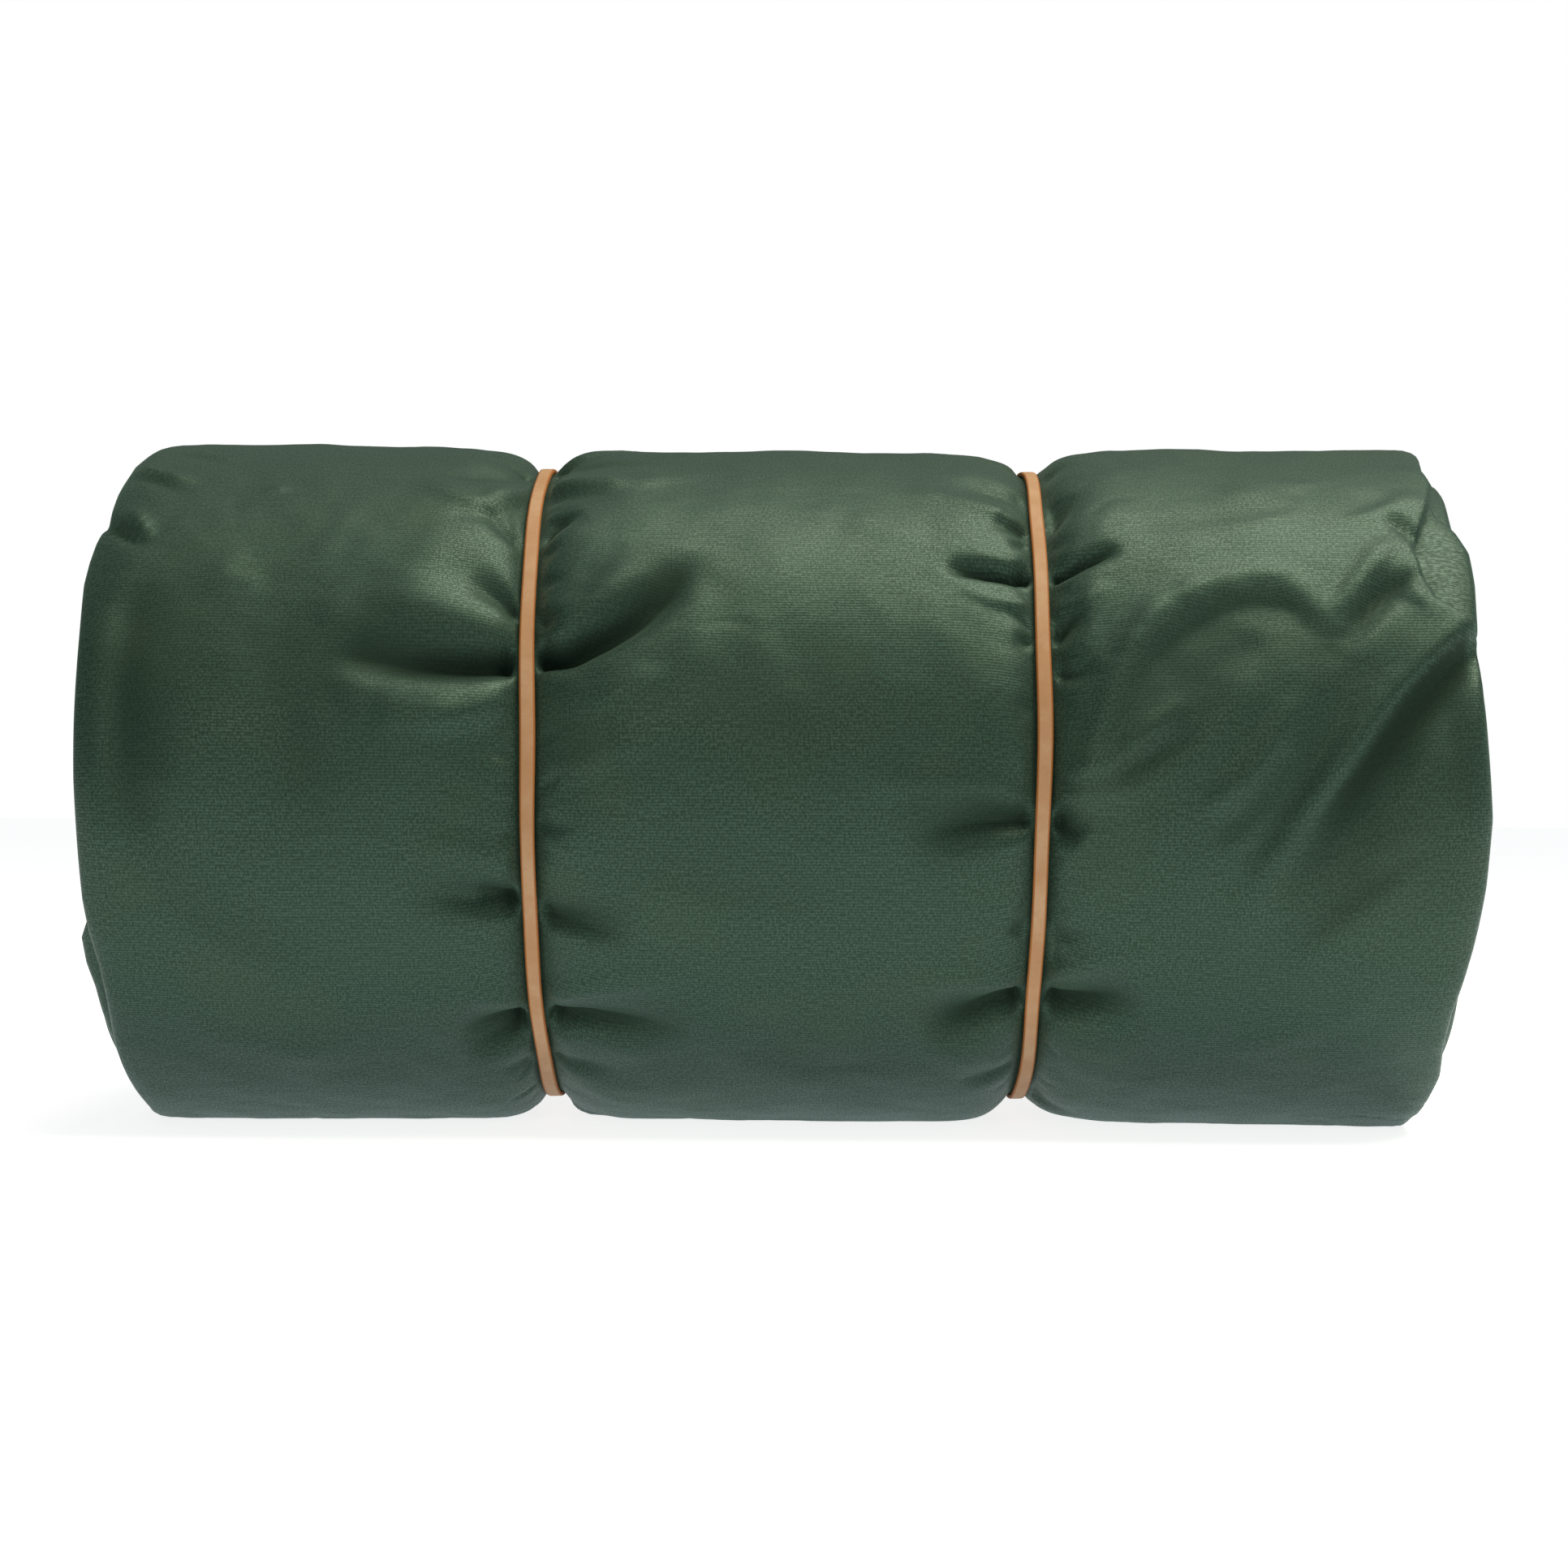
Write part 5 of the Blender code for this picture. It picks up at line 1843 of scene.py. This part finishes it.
@dataclass
class RubberBand:
    """A flat rubber band in its groove, a little uneven as a stretched band is."""

    ring: Ring
    winding: Winding
    material: bpy.types.Material
    width: float = 3.2 * MM
    thickness: float = 1.15 * MM
    corner: float = 0.38 * MM
    groove_clearance: float = 0.12 * MM
    floor_clearance: float = 0.05 * MM
    rows: int = 420

    def build(self) -> bpy.types.Object:
        """Make the band.

        Returns:
            The piece.
        """
        w = self.winding
        first = w.fly.last - w.turn
        stations = first + 1 + np.linspace(0, w.turn, self.rows + 1)
        inside = w.at(np.minimum(stations, w.fly.last), w.floor)
        bridge = np.clip(stations - w.fly.last, 0.0, 1.0)
        inside = inside + (w.floor[first + 1] - inside) * bridge + self.groove_clearance
        climb = w.climb(stations)
        turned = np.radians(climb)
        middle = self.ring.place(climb)
        middle = middle + 0.18 * MM * np.sin(5 * turned + 1.0) + 0.10 * MM * np.sin(11 * turned)
        half = self.width / 2 * (1 + 0.035 * np.sin(4 * turned + 0.6) + 0.02 * np.sin(9 * turned))
        thick = self.thickness * (1 + 0.05 * np.sin(6 * turned))
        tilt = 0.05 * np.sin(3 * turned + 2.0)
        across, rise, chart = self._section()
        x = middle[:, None] + half[:, None] * across[None]
        radius = inside[:, None] + thick[:, None] * rise[None] + x * 0
        radius = radius + tilt[:, None] * (x - middle[:, None])
        places = w.placed(x, radius, np.broadcast_to(climb[:, None], x.shape))
        places[..., 2] = np.maximum(places[..., 2], self.floor_clearance)
        run = np.arange(len(stations)) * math.tau * w.pinched_radius / self.rows
        flat = np.stack(np.meshgrid(chart, run), axis=-1)[..., ::-1]
        return charted_sheet(f"band_{self.ring.name}", places, flat, self.material)

    def _section(self) -> tuple[Points, Points, Points]:
        """The band's rounded section, in shares across and up, with the chart round it."""
        c = self.corner / (self.width / 2)
        d = self.corner / self.thickness
        face = [(-1 + c, 1.0), (-0.6, 1.015), (-0.2, 1.03), (0.2, 1.03), (0.6, 1.015), (1 - c, 1.0)]
        e = 0.3 * c
        f = 0.3 * d
        right = [(1 - e, 1 - f), (1, 1 - d), (0.985, 0.5), (1, d), (1 - e, f)]
        under = [(1 - c, 0.0), (0.0, 0.0), (-1 + c, 0.0)]
        left = [(-across, up) for across, up in reversed(right)]
        loop = face + right + under + left + face[:1]
        face_chart = list(np.linspace(0.0, 1.0, len(face)))
        rest = list(np.linspace(1.12, 1.9, len(right) + len(under) + len(left)))
        chart = np.array(face_chart + rest + [2.0])
        return np.array([p[0] for p in loop]), np.array([p[1] for p in loop]), chart


@dataclass
class StrapHank:
    """A webbing strap folded to and fro in the core."""

    name: str
    side: int
    winding: Winding
    material: bpy.types.Material
    width: float = 25 * MM
    thickness: float = 2.0 * MM
    gap: float = 0.35 * MM
    layers: int = 10
    length: float = 240 * MM
    foot_drop: float = 14.03 * MM

    def path(self) -> list[tuple[float, float]]:
        """The webbing's middle line, along the roll and up, with round bends."""
        pitch = self.thickness + self.gap
        bend = pitch / 2
        reach = self.length / 2 - bend - self.thickness / 2
        points = []
        for layer in range(self.layers):
            way = 1 if layer % 2 == 0 else -1
            height = layer * pitch
            for share in (-1.0, -0.6, -0.2, 0.2, 0.6, 1.0):
                points.append((way * share * reach, height))
            if layer < self.layers - 1:
                for step in range(1, 6):
                    turned = -math.pi / 2 + step * math.pi / 6
                    across = way * (reach + bend * math.cos(turned))
                    points.append((across, height + bend + bend * math.sin(turned)))
        return points

    def cut_size(self) -> tuple[float, float]:
        """The webbing's width, and its length pulled straight."""
        steps = np.diff(np.array(self.path()), axis=0)
        return self.width, float(np.linalg.norm(steps, axis=1).sum())

    def build(self) -> bpy.types.Object:
        """Make the strap.

        Returns:
            The piece.
        """
        line = np.array(self.path())
        step = np.gradient(line, axis=0)
        step /= np.linalg.norm(step, axis=1)[:, None]
        normal = np.stack([-step[:, 1], step[:, 0]], axis=1) * self.thickness / 2
        half = self.width / 2
        y = np.array([across * half for across, _ in self._section()])
        up = np.array([up for _, up in self._section()])
        xs = line[:, None, 0] + normal[:, None, 0] * up[None]
        zs = line[:, None, 1] + normal[:, None, 1] * up[None]
        middle = self.side * (self.width + GAP) / 2
        lift = self.winding.axis_height - self.foot_drop + self.thickness / 2
        places = np.stack([xs, np.broadcast_to(y[None] + middle, xs.shape), zs + lift], axis=-1)
        run = run_along(np.linalg.norm(np.diff(line, axis=0), axis=1))
        chart = np.stack(np.meshgrid(y, run), axis=-1)[..., ::-1]
        return charted_sheet(self.name, places, chart, self.material)

    def _section(self) -> list[tuple[float, float]]:
        """The webbing's section: shares across and up, with soft edges and shallow ribs."""
        top = [(-0.97, 0.7)]
        for rib in range(9):
            across = -0.9 + 0.225 * rib
            top.append((across, 0.93 if rib % 2 else 0.84))
        top.append((0.97, 0.7))
        bottom = [(across, -up) for across, up in reversed(top)]
        return top + [(1.0, 0.0)] + bottom + [(-1.0, 0.0)] + top[:1]


# The studio


@dataclass
class Studio:
    """The camera, the pale floor and soft light."""

    distance: float = 0.771
    eye_height: float = 76.7 * MM
    lens: float = 76.4
    roll_degrees: float = -0.36
    sky_turn: tuple = (0.16, 0.05, 0.98)
    sky_light: float = 0.28
    low_light: float = 0.09
    floor_glow: float = 0.50
    sky_colour: tuple = (0.93, 0.98, 1.0)
    lamp_colour: tuple = (1.0, 0.97, 0.84)

    def build(self) -> None:
        """Set up the camera, floor and lights."""
        self._camera()
        self._floor()
        self._surroundings()
        self._softbox("overhead", (0.40, -0.12, 1.15), (6, 19, 0), (1.0, 0.85), 12.2)
        self._softbox("front", (-0.15, -1.1, 0.50), (69, 0, -8), (0.30, 0.25), 0.85)

    def _camera(self) -> None:
        """A level camera in front of the roll's middle."""
        data = bpy.data.cameras.new("camera")
        data.sensor_width = 36.0
        data.lens = self.lens
        data.clip_start = 0.01
        camera = linked("camera", data)
        camera.location = (0.0, -self.distance, self.eye_height)
        turn = Euler((math.radians(90), math.radians(self.roll_degrees), 0), "XYZ")
        camera.rotation_euler = turn
        bpy.context.scene.camera = camera

    def _floor(self) -> None:
        """A wide round sheet of pale paper."""
        shape = bmesh.new()
        bmesh.ops.create_circle(shape, cap_ends=True, segments=96, radius=6.0)
        mesh = bpy.data.meshes.new("studio_floor")
        shape.to_mesh(mesh)
        shape.free()
        mesh.materials.append(StudioPaper("studio_paper", glow=self.floor_glow).made())
        floor = linked("studio_floor", mesh)

    def _surroundings(self) -> None:
        """Even white light from all round."""
        paint = Paint("white_room", bpy.data.worlds)
        ways = {0: paint.node("ShaderNodeTexCoord", {}, {}).outputs["Generated"], 1: self.sky_turn}
        toward = paint.node("ShaderNodeVectorMath", {"operation": "DOT_PRODUCT"}, ways)
        dome = Wire(paint, toward.outputs["Value"]).between(0.05, 1.0)
        seen = Wire(paint, paint.node("ShaderNodeLightPath", {}, {}).outputs["Is Camera Ray"])
        light = self.low_light + dome * (self.sky_light - self.low_light)
        strength = seen + (1.0 - seen) * light
        paint.close_world(paint.mixed(seen, self.sky_colour, (1.0, 1.0, 1.0)), strength)
        bpy.context.scene.world = paint.owner
        bpy.context.scene.view_settings.view_transform = "Standard"

    def _softbox(self, name: str, place: tuple, turn: tuple, size: tuple, watts: float) -> None:
        """One large soft lamp.

        Args:
            name: The lamp's name.
            place: Where it hangs.
            turn: Its turn in degrees, from straight down.
            size: Its width and height.
            watts: Its power.
        """
        data = bpy.data.lights.new(name, "AREA")
        data.shape = "RECTANGLE"
        data.size, data.size_y = size
        data.energy = watts
        data.color = self.lamp_colour
        lamp = linked(name, data)
        lamp.location = place
        lamp.rotation_euler = Euler([math.radians(a) for a in turn], "XYZ")


# The object


@dataclass
class HammockTent:
    """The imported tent: its cloths, bands, straps and metal parts."""

    winding: Winding = field(default_factory=Winding)
    hem: float = 11.0 * MM

    def build(self) -> list[bpy.types.Object]:
        """Make every piece in order.

        Returns:
            The new pieces.
        """
        made = self._cloths() + self._bands() + self._straps()
        self._dress_metal()
        return made

    def _cloths(self) -> list[bpy.types.Object]:
        """The fly sheet, bed and net."""
        w = self.winding
        skin = Skin(w)
        skin.moved = SkinSimulation(skin).run()
        nylon = WovenNylon("green_nylon", hem_at=w.run(w.fly) - self.hem).made()
        inner = WovenNylon(
            "bed_nylon", light=(0.022, 0.048, 0.034), dark=(0.005, 0.012, 0.008), sheen=0.10
        ).made()
        mesh = NetMesh("net_mesh").made()
        fly = WoundCloth("fly_sheet_cloth", w.fly, 4, w, skin, nylon, step=0.8, seed=3)
        bed = WoundCloth("hammock_bed_cloth", w.bed, 3, w, None, inner, step=2.0, seed=5)
        net = WoundCloth(
            "insect_net_cloth", w.net, 3, w, None, mesh, step=2.4, seed=9, gathered_turn=w.turn
        )
        made = [
            self._fitted(fly.build(), "roll", "fly_sheet_roll"),
            self._fitted(bed.build(), "roll", "hammock_bed_roll"),
            self._fitted(net.build(), "roll", "insect_net_roll"),
        ]
        return made

    def _bands(self) -> list[bpy.types.Object]:
        """The two rubber bands."""
        rubber = BandRubber("tan_rubber").made()
        made = []
        for ring in (LEFT_BAND, RIGHT_BAND):
            piece = RubberBand(ring, self.winding, rubber).build()
            body, node = f"band_{ring.name}", f"rubber_band_{ring.name}"
            made.append(self._fitted(piece, body, node))
        return made

    def _straps(self) -> list[bpy.types.Object]:
        """The two webbing straps."""
        webbing = WovenWebbing("webbing").made()
        made = []
        for name, side in (("front", -1), ("back", 1)):
            strap = StrapHank(f"strap_{name}", side, self.winding, webbing)
            piece = self._fitted(strap.build(), "roll", f"tree_strap_{name}")
            strap.cut_size()
            made.append(piece)
        return made

    def _fitted(
        self, piece: bpy.types.Object, body: str, node: str
    ) -> bpy.types.Object:
        """Put a new piece in the place of a solid.

        Args:
            piece: The new piece.
            body: The body that it moves with.
            node: The solid that it replaces.

        Returns:
            The piece.
        """
        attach(piece, body)
        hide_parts(node)
        log.info("%s: %d faces", piece.name, len(piece.data.polygons))
        return piece

    def _dress_metal(self) -> None:
        """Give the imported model's metal parts their finishes."""
        steel = DrawnSteel("steel").made()
        aluminium = SatinAluminium("aluminium").made()
        for name, piece in frame["nodes"].items():
            if name.startswith("peg") or "rivet" in name or "latch" in name:
                finish = steel
            elif name.startswith("snap_hook"):
                finish = aluminium
            else:
                continue
            piece.data.materials.clear()
            piece.data.materials.append(finish)
            log.info("%s: %s", name, finish.name)


def main() -> None:
    """Build the tent and the studio round it."""
    logging.basicConfig(level=logging.INFO, format="%(name)s: %(message)s")
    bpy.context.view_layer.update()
    Studio().build()
    made = HammockTent().build()
    log.info("%d new pieces", len(made))


if __name__ == "__main__":
    main()
